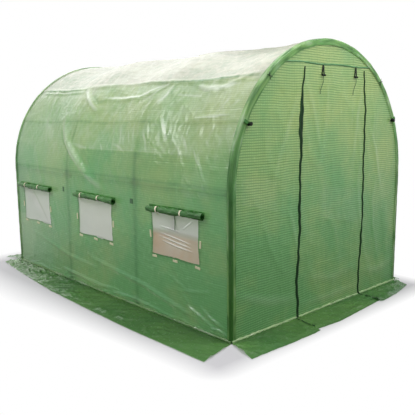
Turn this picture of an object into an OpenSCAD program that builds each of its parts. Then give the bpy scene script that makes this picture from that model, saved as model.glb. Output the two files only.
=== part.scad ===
// Arched garden tunnel greenhouse: a tubular steel frame of four hoops,
// dressed with a woven plastic cover that has a zipped door at the front,
// three roll-up windows in each side wall and a skirt that lies on the ground.
// Millimetres, +Z up, door towards -Y, origin on the ground under the middle.

/* [Cover] */
// Length of the tunnel over its end panels
cover_length = 3000; // [2700:50:4200]
// Width of the tunnel over its side walls
cover_width = 2000; // [1900:50:2600]
// Height of the straight side walls, where the arch begins
wall_height = 950; // [900:10:1300]
// Thickness of the woven sheet as modelled
fabric_t = 3; // [2:0.5:5]
// Width of the hem sleeve round each end arch
hem_w = 45; // [30:1:60]

/* [Skirt] */
// Width of the ground skirt along the side walls
side_skirt_w = 300; // [150:10:400]
// Width of the ground skirt along the ends
end_skirt_w = 250; // [150:10:400]
// How far the outer edge of a skirt flares past its corner
skirt_flare = 75; // [20:5:120]
// Cut between the door's own skirt and its neighbours
skirt_slit = 4; // [1:0.5:20]

/* [Door] */
// Width of the door between its zips
door_w = 785; // [600:5:900]
// Distance of the door's middle from the tunnel's middle
door_shift = 62; // [-100:1:100]
// Drop of the cross seam below the crown of the arch
seam_drop = 170; // [140:5:260]
// Height of the cross seam's piping
seam_h = 12; // [6:1:30]
// Width of each zip tape
zip_w = 24; // [14:1:40]
// Length of wall between the seam and the top of each zip
zip_drop = 36; // [10:1:80]
// Place of the first door strap from the tunnel's middle
first_strap_x = -93; // [-200:1:0]
// Place of the second door strap from the tunnel's middle
second_strap_x = 310; // [200:1:360]
// Length of each door strap
strap_drop = 70; // [50:1:120]
// Width of each strap where it is gathered in the seam
strap_top_w = 14; // [8:1:24]
// Width of each strap at its toggle
strap_foot_w = 36; // [26:1:60]
// Diameter of the barrel toggle on each strap
toggle_d = 14; // [8:1:20]
// Diameter of the cord that hangs from each toggle
cord_d = 4; // [3:0.5:5]

/* [Windows] */
// Width of each window opening
window_w = 500; // [300:5:600]
// Height of each window opening
window_h = 330; // [200:5:400]
// Height of each window's lower edge above the ground
window_sill = 460; // [300:5:500]
// Distance between neighbouring windows as a share of the length of a bay
window_spread = 1.02; // [0.95:0.01:1.05]
// Distance of the middle window from the middle of the tunnel, to the rear
window_shift = 70; // [-80:5:80]
// Overlap of the insect net behind the edge of its opening
net_lap = 20; // [10:1:40]
// Thickness of the insect net as modelled
net_t = 2; // [1:0.5:3]
// Overlap of the roll-up flap past each end of its opening
flap_lap = 65; // [20:5:90]
// Thickness of the flap's sheet as modelled
flap_t = 2; // [1:0.25:3]
// Radius of the hollow core of the rolled flap
roll_core_r = 8; // [5:1:15]
// Air between two turns of the roll
roll_air = 1; // [0.5:0.25:2]
// Turns in the roll
roll_turns = 4; // [2:1:6]
// Height of the sewn edge above the middle of the roll
flap_tail = 45; // [30:1:70]
// Width of each tie tape
tie_w = 14; // [8:1:25]
// Thickness of each tie tape
tie_t = 1.5; // [1:0.5:3]
// Place of the rear tie from the middle of the roll
rear_tie_y = 155; // [60:5:200]
// Place of the front tie from the middle of the roll
front_tie_y = -105; // [-200:5:-60]

/* [Frame] */
// Number of bays between hoops
bays = 3; // [2:1:4]
// Diameter of the hoop tubes
tube_d = 25; // [19:1:32]
// Diameter of the purlins, rails and braces
purlin_d = 20; // [16:1:25]
// Wall of every tube
tube_wall = 1.2; // [0.8:0.1:2]
// Angle of the upper purlins above the spring of the arch
upper_angle = 46; // [35:1:55]
// Wall of the moulded tube joints
socket_wall = 3; // [2:0.5:5]
// Depth that a tube goes into a joint
socket_depth = 36; // [25:1:60]
// Web between two tubes in a joint
socket_web = 12; // [8:1:20]
// Swell of the ball in the middle of a joint over its sockets
hub_rim = 2.5; // [2:0.5:6]
// Height of the cup that each hoop leg stands in
foot_h = 70; // [50:5:120]
// Floor of that cup
foot_floor = 4; // [2:0.5:8]
// Height of the side rails' sockets above the ground
rail_lift = 1.5; // [1:0.5:10]
// Height of the rear rail's sockets above the side rails' sockets
rear_rail_lift = 4; // [2:0.5:12]
// Height on the rear leg where a brace is fixed
brace_top = 855; // [700:5:860]
// Height on the next leg where a brace is fixed
brace_foot = 125; // [110:5:300]
// Length of brace past each fixing
brace_over = 25; // [10:1:40]

/* [Shoulder purlins] */
// Angle of the shoulder purlins above the spring of the arch
shoulder_angle = 27; // [18:1:30]
// Length of the clamp that holds a shoulder purlin to a hoop
clamp_l = 32; // [20:1:50]
// Web between the two tubes in such a clamp
clamp_web = 3; // [2:0.5:6]
// Length of the cap on each end of a shoulder purlin
cap_l = 26; // [20:1:60]
// Floor of that cap
cap_floor = 4; // [2:0.5:8]
// Bevel round the closed end of that cap
cap_bevel = 2; // [1:0.5:3]
// Width of the tongue on that cap, which holds the hem
tongue_w = 20; // [12:1:24]
// Thickness of that tongue
tongue_t = 8; // [4:0.5:12]
// Distance of the tongue's tip from the outside of the cover
tongue_inset = 2; // [0:0.5:10]
// Play of a shoulder purlin in its hole in the end panel, all round
hole_play = 1.5; // [0.5:0.5:4]

/* [Fit] */
// Play between pieces that seat on each other
seat_gap = 0.3; // [0.1:0.05:0.6]
// Play of a tube in its socket, all round
socket_play = 0.35; // [0.2:0.05:0.6]

/* [Hidden] */
$fn = 96;

// Colours of the real materials
sheet_green = [0.40, 0.60, 0.36];
hem_green = [0.22, 0.45, 0.20];
roll_green = [0.13, 0.36, 0.14];
zip_dark = [0.07, 0.17, 0.08];
tube_grey = [0.62, 0.64, 0.63];
joint_black = [0.05, 0.06, 0.05];
net_grey = [0.78, 0.80, 0.76];
tape_cream = [0.80, 0.80, 0.62];

// The cover's arch, from outside to inside
roof_r = cover_width / 2;
roof_inner_r = roof_r - fabric_t;
crown_z = wall_height + roof_r;
end_y = cover_length / 2;
end_inner_y = end_y - fabric_t;
panel_r = roof_inner_r - seat_gap;
hem_inner_r = roof_r - hem_w;

// Moulded joints and the hoops that they carry inside the cover
socket_d = tube_d + 2 * (socket_play + socket_wall);
rail_socket_d = purlin_d + 2 * (socket_play + socket_wall);
hub_d = socket_d + 2 * hub_rim;
hoop_r = roof_inner_r - seat_gap - hub_d / 2;
end_hoop_y = end_inner_y - seat_gap - hub_d / 2;
bay_l = 2 * end_hoop_y / bays;
web_half = socket_web / 2;
sleeve_half = web_half + socket_depth;
stub_reach = socket_d / 2 + socket_depth;
stub_floor = socket_d / 2;
arm_start = 2;
hub_turn = 30;
rail_z = rail_lift + rail_socket_d / 2;
rear_rail_z = rail_z + rail_socket_d + rear_rail_lift;
joint_angles = [0, upper_angle, 90, 180 - upper_angle, 180];

// Shoulder purlins run inside the hoops, right through both end panels
shoulder_r = hoop_r - tube_d / 2 - clamp_web - purlin_d / 2;
shoulder_angles = [shoulder_angle, 180 - shoulder_angle];
cap_y = end_y + fabric_t + seat_gap;

// Place of the hoops, counted from the door to the rear
first_hoop = 0;
last_hoop = bays;
second_hoop = 1;
third_hoop = bays - 1;

// Door and cross seam on the front panel
door_left = door_shift - door_w / 2;
door_right = door_shift + door_w / 2;
seam_z = crown_z - seam_drop;
zip_top = seam_z - zip_drop;
strap_top = seam_z - seam_h / 2 - seat_gap;
toggle_z = strap_top - strap_drop;
toggle_y = -end_y - toggle_d / 2 - seat_gap;

// Rolled window flaps, in a frame of u away from the wall and v up
roll_pitch = flap_t + roll_air;
roll_r = roll_core_r + roll_turns * roll_pitch + flap_t;
roll_l = window_w + 2 * flap_lap;
roll_z = window_sill + window_h;
roll_step = 24;

// Each door cord hangs from its toggle: offsets across, out and down from the toggle's underside
cord_route = [
    [0, 0, -2.5], [0, 0, -7], [0, 0, -13], [-1, -1, -22], [-3, -2, -32], [-6, -2, -42], [-10, -1, -52],
    [-14, 0, -61], [-18, 1, -70], [-21, 2, -79], [-24, 3, -88], [-26, 4, -97], [-28, 4, -106], [-29, 4, -115],
    [-30, 4, -124]
];
cord_sides = 8;

function hoop_y(i) = -end_hoop_y + i * bay_l;
function window_mid(i) = (i - (bays - 1) / 2) * window_spread * cover_length / bays + window_shift;
function degrees_along(s) = s / hoop_r * 180 / PI;
function hoop_point(a) = [hoop_r * cos(a), 0, wall_height + hoop_r * sin(a)];
function shoulder_point(a) = [shoulder_r * cos(a), 0, wall_height + shoulder_r * sin(a)];

// Outline of the tunnel's end with half-width r, standing on foot_z
module arch_outline(r, foot_z) {
    translate([0, wall_height]) intersection() {
        circle(r = r);
        translate([-r, 0]) square([2 * r, r]);
    }
    translate([-r, foot_z]) square([2 * r, wall_height - foot_z]);
}

// A plate of the drawn outline that stands in the end plane, with its rear face at y
module end_plate(y, t) {
    translate([0, y, 0]) rotate([90, 0, 0]) linear_extrude(t) children();
}

// Rod that follows the hoop between two angles, hollow where bore is over 0
module arc_rod(a0, a1, d, bore = 0) {
    translate([0, 0, wall_height]) rotate([90, 0, 0]) rotate([0, 0, a0])
        rotate_extrude(angle = a1 - a0) translate([hoop_r, 0]) difference() {
            circle(d = d);
            if (bore > 0) circle(d = bore);
        }
}

module tube(l, d) {
    difference() {
        cylinder(h = l, d = d);
        translate([0, 0, -1]) cylinder(h = l + 2, d = d - 2 * tube_wall);
    }
}

// Tube along Y from y0 to y1
module tube_along_y(y0, y1, d) {
    translate([0, y0, 0]) rotate([-90, 0, 0]) tube(y1 - y0, d);
}

// Hoop of two legs and the arch in four bent lengths, each ending in a joint
module hoop(i) {
    tube_end = web_half + seat_gap;
    trim = degrees_along(tube_end);
    translate([0, hoop_y(i), 0]) {
        for (side = [-1, 1]) translate([side * hoop_r, 0, foot_floor])
            tube(wall_height - tube_end - foot_floor, tube_d);
        for (k = [0 : len(joint_angles) - 2])
            arc_rod(joint_angles[k] + trim, joint_angles[k + 1] - trim, tube_d, tube_d - 2 * tube_wall);
    }
}

// Half of a sleeve that leaves joint angle a, up the arch or down it, from s0 to s1 along the tube
module half_sleeve(a, up, s0, s1, d) {
    straight = (a == 0 && up < 0) || (a == 180 && up > 0);
    if (straight)
        translate([hoop_r * cos(a), 0, wall_height - s1]) cylinder(h = s1 - s0, d = d);
    else if (up > 0)
        arc_rod(a + degrees_along(s0), a + degrees_along(s1), d);
    else
        arc_rod(a - degrees_along(s1), a - degrees_along(s0), d);
}

// Stub along the tunnel: its socket opens at dir * stub_reach
module stub(dir, from, to, d) {
    rotate([-90 * dir, 0, 0]) translate([0, 0, from]) rotate(hub_turn) cylinder(h = to - from, d = d);
}

// Moulded joint at angle a, with a socket for each tube that meets there
module hoop_joint(a, dirs) {
    difference() {
        union() {
            translate(hoop_point(a)) rotate([0, -a, 0]) rotate(hub_turn) sphere(d = hub_d);
            for (up = [-1, 1]) half_sleeve(a, up, arm_start, sleeve_half, socket_d);
            translate(hoop_point(a)) for (dir = dirs) stub(dir, arm_start, stub_reach, rail_socket_d);
        }
        for (up = [-1, 1]) half_sleeve(a, up, web_half, sleeve_half + 1, tube_d + 2 * socket_play);
        translate(hoop_point(a)) for (dir = dirs)
            stub(dir, stub_floor, stub_reach + 1, purlin_d + 2 * socket_play);
    }
}

function inward_dirs(i) = i == first_hoop ? [1] : i == last_hoop ? [-1] : [-1, 1];

module hoop_joints(i) {
    color(joint_black) translate([0, hoop_y(i), 0])
        for (a = joint_angles) hoop_joint(a, inward_dirs(i));
}

// Cup under a hoop leg with sockets for the base rails, the rear ones also across the tunnel
module foot(i, side) {
    difference() {
        union() {
            cylinder(h = foot_h, d = socket_d);
            translate([0, 0, rail_z]) for (dir = inward_dirs(i)) stub(dir, arm_start, stub_reach, rail_socket_d);
            if (i == last_hoop) translate([0, 0, rear_rail_z]) rotate([0, 0, 90 * side])
                stub(1, arm_start, stub_reach, rail_socket_d);
        }
        translate([0, 0, foot_floor]) cylinder(h = foot_h, d = tube_d + 2 * socket_play);
        translate([0, 0, rail_z]) for (dir = inward_dirs(i))
            stub(dir, stub_floor, stub_reach + 1, purlin_d + 2 * socket_play);
        if (i == last_hoop) translate([0, 0, rear_rail_z]) rotate([0, 0, 90 * side])
            stub(1, stub_floor, stub_reach + 1, purlin_d + 2 * socket_play);
    }
}

module feet(side) {
    color(joint_black) for (i = [0 : bays])
        translate([side * hoop_r, hoop_y(i), 0]) foot(i, side);
}

// One length of tube in each bay, from joint to joint
module bay_tubes(place) {
    color(tube_grey) for (i = [0 : bays - 1])
        translate(place) tube_along_y(
            hoop_y(i) + stub_floor + seat_gap, hoop_y(i + 1) - stub_floor - seat_gap, purlin_d);
}

module purlin(a) {
    bay_tubes(hoop_point(a));
}

module shoulder_purlins() {
    reach = cap_y + cap_l - cap_floor - seat_gap;
    color(tube_grey) for (a = shoulder_angles)
        translate(shoulder_point(a)) tube_along_y(-reach, reach, purlin_d);
}

// Clamp of two crossed sleeves, one round the hoop and one round the shoulder purlin inside it
module shoulder_clamp(a) {
    half = degrees_along(clamp_l / 2);
    past = degrees_along(clamp_l / 2 + 1);
    difference() {
        union() {
            arc_rod(a - half, a + half, socket_d);
            translate(shoulder_point(a)) rotate([90, 0, 0]) rotate(hub_turn)
                cylinder(h = socket_d, d = rail_socket_d, center = true);
        }
        arc_rod(a - past, a + past, tube_d + 2 * socket_play);
        translate(shoulder_point(a)) rotate([90, 0, 0]) rotate(hub_turn)
            cylinder(h = socket_d + 2, d = purlin_d + 2 * socket_play, center = true);
    }
}

module shoulder_clamps() {
    color(joint_black) for (i = [0 : bays], a = shoulder_angles)
        translate([0, hoop_y(i), 0]) shoulder_clamp(a);
}

// Cap pushed over the end of a shoulder purlin, its closed end bevelled, with a tongue out over the hem
module purlin_cap(turn) {
    tongue_start = purlin_d / 2 + socket_play + socket_wall / 2;
    tongue_end = roof_r - tongue_inset - shoulder_r;
    difference() {
        union() {
            rotate(turn) translate([tongue_start, -tongue_w / 2, 0])
                cube([tongue_end - tongue_start, tongue_w, tongue_t]);
            cylinder(h = cap_l - cap_bevel, d = rail_socket_d);
            translate([0, 0, cap_l - cap_bevel])
                cylinder(h = cap_bevel, d1 = rail_socket_d, d2 = rail_socket_d - 2 * cap_bevel);
        }
        translate([0, 0, -1]) cylinder(h = cap_l - cap_floor + 1, d = purlin_d + 2 * socket_play);
    }
}

module purlin_caps() {
    color(joint_black) for (a = shoulder_angles, dir = [-1, 1])
        translate(shoulder_point(a) + [0, dir * cap_y, 0]) rotate([-90 * dir, 0, 0]) purlin_cap(-dir * a);
}

// Holes for the shoulder purlins in an end panel and its hem
module purlin_holes() {
    for (a = shoulder_angles)
        translate([shoulder_r * cos(a), wall_height + shoulder_r * sin(a)])
            circle(d = purlin_d + 2 * hole_play);
}

module base_rail(side) {
    bay_tubes([side * hoop_r, 0, rail_z]);
}

module rear_base_rail() {
    half = hoop_r - stub_floor - seat_gap;
    color(tube_grey) translate([-half, hoop_y(last_hoop), rear_rail_z]) rotate([0, 90, 0])
        tube(2 * half, purlin_d);
}

// Brace across the rear bay, inside the legs, from the top of the rear leg to the foot of the next
module brace(side) {
    rise = brace_top - brace_foot;
    slope = atan2(bay_l, rise);
    x = hoop_r - tube_d / 2 - seat_gap - purlin_d / 2;
    translate([side * x, hoop_y(third_hoop), brace_foot]) rotate([-slope, 0, 0])
        translate([0, 0, -brace_over]) tube(sqrt(bay_l * bay_l + rise * rise) + 2 * brace_over, purlin_d);
}

module rear_bay_braces() {
    color(tube_grey) for (side = [-1, 1]) brace(side);
}

module roof_cover() {
    color(sheet_green) translate([0, end_y, wall_height]) rotate([90, 0, 0]) linear_extrude(cover_length)
        intersection() {
            difference() {
                circle(r = roof_r);
                circle(r = roof_inner_r);
            }
            translate([-roof_r, 0]) square([2 * roof_r, roof_r]);
        }
}

// Side wall with its window openings, drawn for the right side
module wall() {
    color(sheet_green) difference() {
        translate([roof_inner_r, -end_y, fabric_t]) cube([fabric_t, cover_length, wall_height - fabric_t]);
        for (i = [0 : bays - 1])
            translate([roof_inner_r - 1, window_mid(i) - window_w / 2, window_sill])
                cube([fabric_t + 2, window_w, window_h]);
    }
}

// Insect nets sewn behind the window openings
module window_nets() {
    color(net_grey) for (i = [0 : bays - 1])
        translate([roof_inner_r - net_t, window_mid(i) - window_w / 2 - net_lap, window_sill - net_lap])
            cube([net_t, window_w + 2 * net_lap, window_h + 2 * net_lap]);
}

// Section of a rolled flap: a spiral that runs into the flat edge sewn to the wall
function roll_point(a, out) =
    let (phi = 180 + 360 * roll_turns - a, r = roll_core_r + roll_pitch * a / 360 + out)
    [roll_r + r * cos(phi), r * sin(phi)];

module roll_section() {
    full = 360 * roll_turns;
    polygon(concat(
        [for (a = [0 : roll_step : full]) roll_point(a, flap_t)],
        [[0, flap_tail], [flap_t, flap_tail]],
        [for (a = [full : -roll_step : 0]) roll_point(a, 0)]
    ));
}

// Places something drawn in u and v against the right wall, with its middle at y
module on_wall(y, l) {
    translate([roof_r, y + l / 2, roll_z]) rotate([90, 0, 0]) linear_extrude(l) children();
}

module window_flaps() {
    color(roll_green) for (i = [0 : bays - 1])
        on_wall(window_mid(i), roll_l) roll_section();
}

// Tape that holds a roll up, round its outer side
module tie_section() {
    inner = roll_r + seat_gap;
    intersection() {
        translate([roll_r, 0]) difference() {
            circle(r = inner + tie_t);
            circle(r = inner);
        }
        translate([flap_t + seat_gap, -2 * roll_r]) square(4 * roll_r);
    }
}

module flap_ties() {
    color(tape_cream) for (i = [0 : bays - 1], tie_y = [rear_tie_y, front_tie_y])
        on_wall(window_mid(i) + tie_y, tie_w) tie_section();
}

// Part of the end panel that lies inside the roof and between two heights and sides
module panel_part(x0, x1, z0, z1) {
    difference() {
        intersection() {
            arch_outline(panel_r, fabric_t);
            translate([x0, z0]) square([x1 - x0, z1 - z0]);
        }
        purlin_holes();
    }
}

module front_panel_part(x0, x1, z0, z1) {
    color(sheet_green) end_plate(-end_inner_y, fabric_t) panel_part(x0, x1, z0, z1);
}

module front_gable() {
    front_panel_part(-roof_r, roof_r, seam_z, crown_z);
}

module front_left_panel() {
    front_panel_part(-roof_r, door_left, fabric_t, seam_z);
}

module front_right_panel() {
    front_panel_part(door_right, roof_r, fabric_t, seam_z);
}

module door_panel() {
    front_panel_part(door_left, door_right, fabric_t, seam_z);
}

module rear_panel() {
    color(sheet_green) end_plate(end_y, fabric_t) panel_part(-roof_r, roof_r, fabric_t, crown_z);
}

// Hem sleeve of the cover, folded round the end arch and sewn to the end panel
module hem_outline() {
    difference() {
        arch_outline(roof_r, fabric_t);
        arch_outline(hem_inner_r, 0);
        purlin_holes();
    }
}

module front_hem() {
    color(hem_green) end_plate(-end_y, fabric_t) hem_outline();
}

module rear_hem() {
    color(hem_green) end_plate(end_y + fabric_t, fabric_t) hem_outline();
}

module front_cross_seam() {
    color(hem_green) end_plate(-end_y, fabric_t) intersection() {
        arch_outline(hem_inner_r - seat_gap, fabric_t);
        translate([-roof_r, seam_z - seam_h / 2]) square([cover_width, seam_h]);
    }
}

module door_zips() {
    color(zip_dark) end_plate(-end_y, fabric_t) intersection() {
        arch_outline(hem_inner_r - seat_gap, fabric_t);
        for (x = [door_left, door_right])
            translate([x - zip_w / 2, fabric_t]) square([zip_w, zip_top - fabric_t]);
    }
}

// Ground skirt sewn under the foot of a side wall, drawn for the right side
module side_skirt() {
    inner_half = end_inner_y - 2 * fabric_t;
    outer_half = end_y + skirt_flare;
    color(hem_green) linear_extrude(fabric_t) polygon([
        [roof_inner_r, -inner_half], [roof_r + side_skirt_w, -outer_half],
        [roof_r + side_skirt_w, outer_half], [roof_inner_r, inner_half]
    ]);
}

// Ground skirt of an end, drawn for the front
module end_skirt_outline() {
    inner_half = roof_inner_r - 2 * fabric_t;
    outer_half = roof_r + skirt_flare;
    polygon([
        [-inner_half, -end_inner_y], [-outer_half, -end_y - end_skirt_w],
        [outer_half, -end_y - end_skirt_w], [inner_half, -end_inner_y]
    ]);
}

module front_skirt() {
    color(hem_green) linear_extrude(fabric_t) difference() {
        end_skirt_outline();
        for (x = [door_left, door_right])
            translate([x - skirt_slit / 2, -end_y - end_skirt_w - 1])
                square([skirt_slit, end_skirt_w + fabric_t + 2]);
    }
}

module rear_skirt() {
    color(hem_green) linear_extrude(fabric_t) mirror([0, 1]) end_skirt_outline();
}

// Webbing loop under the cross seam, gathered at the top, with a barrel toggle in its fold
module door_strap() {
    slot = strap_foot_w / 2;
    end_plate(-end_y - seat_gap, fabric_t) difference() {
        polygon([
            [-strap_top_w / 2, strap_top], [-strap_foot_w / 2, toggle_z],
            [strap_foot_w / 2, toggle_z], [strap_top_w / 2, strap_top]
        ]);
        polygon([[0, strap_top - strap_drop / 3], [-slot / 2, toggle_z], [slot / 2, toggle_z]]);
    }
    translate([-strap_foot_w / 2, toggle_y, toggle_z]) rotate([0, 90, 0]) cylinder(h = strap_foot_w, d = toggle_d);
}

module door_straps() {
    color(joint_black) for (x = [first_strap_x, second_strap_x]) translate([x, 0, 0]) door_strap();
}

// Round cord swept along its route: a ring of points square to the route at each of its points
function unit(v) = v / norm(v);
function route_dir(p, i) = unit(p[min(i + 1, len(p) - 1)] - p[max(i - 1, 0)]);
function ring(c, dir, r) =
    let (across = unit(cross([0, 1, 0], dir)), out = cross(dir, across))
    [for (k = [0 : cord_sides - 1]) let (a = 360 * k / cord_sides) c + r * (cos(a) * across + sin(a) * out)];

module swept_cord(p, d) {
    n = len(p);
    points = [for (i = [0 : n - 1]) each ring(p[i], route_dir(p, i), d / 2)];
    sides = [for (i = [0 : n - 2], k = [0 : cord_sides - 1]) let (j = (k + 1) % cord_sides)
        [i * cord_sides + k, i * cord_sides + j, (i + 1) * cord_sides + j, (i + 1) * cord_sides + k]];
    first_cap = [for (k = [cord_sides - 1 : -1 : 0]) k];
    last_cap = [for (k = [0 : cord_sides - 1]) (n - 1) * cord_sides + k];
    polyhedron(points, concat(sides, [first_cap, last_cap]));
}

module door_cord(x) {
    color(zip_dark) translate([x, toggle_y, toggle_z - toggle_d / 2 + cord_d / 2]) swept_cord(cord_route, cord_d);
}

color(tube_grey) hoop(first_hoop);  // front_hoop
color(tube_grey) hoop(second_hoop);  // mid_front_hoop
color(tube_grey) hoop(third_hoop);  // mid_rear_hoop
color(tube_grey) hoop(last_hoop);  // rear_hoop
hoop_joints(first_hoop);  // front_hoop_joints
hoop_joints(second_hoop);  // mid_front_hoop_joints
hoop_joints(third_hoop);  // mid_rear_hoop_joints
hoop_joints(last_hoop);  // rear_hoop_joints
feet(-1);  // left_feet
feet(1);  // right_feet
purlin(90);  // ridge_purlin
purlin(180 - upper_angle);  // left_upper_purlin
purlin(upper_angle);  // right_upper_purlin
purlin(180);  // left_side_purlin
purlin(0);  // right_side_purlin
shoulder_purlins();
shoulder_clamps();
purlin_caps();
base_rail(-1);  // left_base_rail
base_rail(1);  // right_base_rail
rear_base_rail();
rear_bay_braces();
roof_cover();
mirror([1, 0, 0]) wall();  // left_wall
wall();  // right_wall
front_gable();
front_left_panel();
front_right_panel();
door_panel();
rear_panel();
front_hem();
rear_hem();
front_cross_seam();
door_zips();
mirror([1, 0, 0]) side_skirt();  // left_skirt
side_skirt();  // right_skirt
front_skirt();
rear_skirt();
mirror([1, 0, 0]) window_nets();  // left_window_nets
window_nets();  // right_window_nets
mirror([1, 0, 0]) window_flaps();  // left_window_flaps
window_flaps();  // right_window_flaps
mirror([1, 0, 0]) flap_ties();  // left_flap_ties
flap_ties();  // right_flap_ties
door_straps();
door_cord(first_strap_x);  // first_door_cord
door_cord(second_strap_x);  // second_door_cord
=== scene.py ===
import math

import bmesh
import bpy
import numpy as np
from mathutils import Matrix, Vector, noise


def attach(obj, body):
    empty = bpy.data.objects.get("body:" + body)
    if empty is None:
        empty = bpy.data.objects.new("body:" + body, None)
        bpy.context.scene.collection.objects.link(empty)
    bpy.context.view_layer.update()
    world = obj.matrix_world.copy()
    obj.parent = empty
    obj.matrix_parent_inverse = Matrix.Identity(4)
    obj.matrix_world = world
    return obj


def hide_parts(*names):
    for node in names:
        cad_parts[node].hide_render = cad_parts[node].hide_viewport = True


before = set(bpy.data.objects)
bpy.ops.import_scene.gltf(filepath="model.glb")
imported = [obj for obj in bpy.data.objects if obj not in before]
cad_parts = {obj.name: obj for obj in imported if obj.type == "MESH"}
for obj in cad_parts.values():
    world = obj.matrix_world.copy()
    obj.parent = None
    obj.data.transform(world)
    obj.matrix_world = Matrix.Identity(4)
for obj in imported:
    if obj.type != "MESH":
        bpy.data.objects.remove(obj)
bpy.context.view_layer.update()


# Viewpoint
# Chest height, outside the front left corner, looking back along the left
# wall. Its place and turn come from the perspective of the arches.
eye_place = (-3.4266, -3.9113, 1.4385)
eye_yaw = 42.776
eye_pitch = -9.259
eye_roll = -0.532
eye_lens = 49.25

camera = bpy.data.objects.new("camera", bpy.data.cameras.new("camera"))
camera.data.lens = eye_lens
camera.data.sensor_width = 36
camera.matrix_world = (
    Matrix.Translation(eye_place)
    @ Matrix.Rotation(math.radians(-eye_yaw), 4, "Z")
    @ Matrix.Rotation(math.radians(90 + eye_pitch), 4, "X")
    @ Matrix.Rotation(math.radians(eye_roll), 4, "Z")
)
bpy.context.collection.objects.link(camera)
bpy.context.scene.camera = camera


# Hoops, purlins, rails and braces
# Thin steel tube, galvanised: four hoops of bent lengths pushed into moulded
# joints, purlins between them, rails along the ground and two rear braces.
tube_nodes = (
    "front_hoop", "mid_front_hoop", "mid_rear_hoop", "rear_hoop", "ridge_purlin",
    "left_upper_purlin", "right_upper_purlin", "left_side_purlin", "right_side_purlin",
    "shoulder_purlins", "left_base_rail", "right_base_rail", "rear_base_rail", "rear_bay_braces",
)
zinc_pale = (0.50, 0.52, 0.51, 1)
zinc_dull = (0.34, 0.36, 0.36, 1)


def blank_material(name):
    made = bpy.data.materials.new(name)
    made.use_nodes = True
    return made, made.node_tree, made.node_tree.nodes["Principled BSDF"]


def shader_node(tree, kind, sockets=None, **settings):
    made = tree.nodes.new("ShaderNode" + kind)
    for key, value in settings.items():
        setattr(made, key, value)
    for key, value in (sockets or {}).items():
        if isinstance(value, bpy.types.NodeSocket):
            tree.links.new(value, made.inputs[key])
        else:
            made.inputs[key].default_value = value
    return made


def reckon(tree, operation, *values, **settings):
    return shader_node(tree, "Math", dict(enumerate(values)), operation=operation, **settings).outputs[0]


def ranged(tree, value, over=(0, 1), gives=(0, 1), **settings):
    # A value carried from one range to another and held at both ends
    sockets = {"Value": value, "From Min": over[0], "From Max": over[1], "To Min": gives[0], "To Max": gives[1]}
    return shader_node(tree, "MapRange", sockets, **settings).outputs["Result"]


def mottle(tree, place, scale, detail):
    return shader_node(tree, "TexNoise", {"Vector": place, "Scale": scale, "Detail": detail}).outputs["Fac"]


def blend_colours(tree, share, first, second):
    made = shader_node(tree, "MixRGB", {"Fac": share, "Color1": first, "Color2": second})
    return made.outputs["Color"]


def object_place(tree):
    return shader_node(tree, "TexCoord").outputs["Object"]


def set_slots(names, material):
    for name in names:
        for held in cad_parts[name].material_slots:
            held.material = material


zinc, tree, shader = blank_material("galvanised_tube")
spangle = shader_node(tree, "TexVoronoi", {"Vector": object_place(tree), "Scale": 90.0}).outputs["Distance"]
streaks = mottle(tree, object_place(tree), 14.0, 6.0)
tone = reckon(tree, "MULTIPLY", spangle, streaks)
tree.links.new(blend_colours(tree, tone, zinc_pale, zinc_dull), shader.inputs["Base Color"])
tree.links.new(ranged(tree, streaks, gives=(0.3, 0.55)), shader.inputs["Roughness"])
shader.inputs["Metallic"].default_value = 0.8
set_slots(tube_nodes, zinc)


# Joints, feet, clamps and caps
# Moulded black plastic: ball joints with sockets for the tubes, cups under the
# hoop legs, crossed clamps, and caps whose dark green tongue holds the hem.
moulded_nodes = (
    "front_hoop_joints", "mid_front_hoop_joints", "mid_rear_hoop_joints", "rear_hoop_joints",
    "left_feet", "right_feet", "shoulder_clamps",
)
moulded_black = (0.005, 0.006, 0.005, 1)
moulded_worn = (0.018, 0.020, 0.018, 1)
wall_top = 0.95
tongue_from = 0.966
tongue_green = (0.055, 0.17, 0.045, 1)


def reckon_places(tree, operation, *values):
    made = shader_node(tree, "VectorMath", dict(enumerate(values)), operation=operation)
    return made.outputs["Value" if operation == "LENGTH" else "Vector"]


def set_relief(tree, shader, height, strength, depth):
    made = shader_node(tree, "Bump", {"Height": height, "Strength": strength, "Distance": depth})
    tree.links.new(made.outputs["Normal"], shader.inputs["Normal"])


def moulded_skin(tree, shader):
    # Black plastic with the fine pits of its mould
    grain = mottle(tree, object_place(tree), 60.0, 5.0)
    set_relief(tree, shader, grain, 0.2, 0.0005)
    return grain, blend_colours(tree, grain, moulded_black, moulded_worn)


moulding, tree, shader = blank_material("moulded_plastic")
grain, black = moulded_skin(tree, shader)
tree.links.new(black, shader.inputs["Base Color"])
tree.links.new(ranged(tree, grain, gives=(0.4, 0.65)), shader.inputs["Roughness"])
shader.inputs["IOR"].default_value = 1.25
set_slots(moulded_nodes, moulding)

cap_plastic, tree, shader = blank_material("cap_plastic")
grain, black = moulded_skin(tree, shader)
from_middle = reckon_places(tree, "MULTIPLY_ADD", object_place(tree), (1, 0, 1), (0, 0, -wall_top))
on_tongue = reckon(tree, "GREATER_THAN", reckon_places(tree, "LENGTH", from_middle), tongue_from)
tree.links.new(blend_colours(tree, on_tongue, black, tongue_green), shader.inputs["Base Color"])
shader.inputs["Roughness"].default_value = 0.6
shader.inputs["IOR"].default_value = 1.2
set_slots(("purlin_caps",), cap_plastic)


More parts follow.
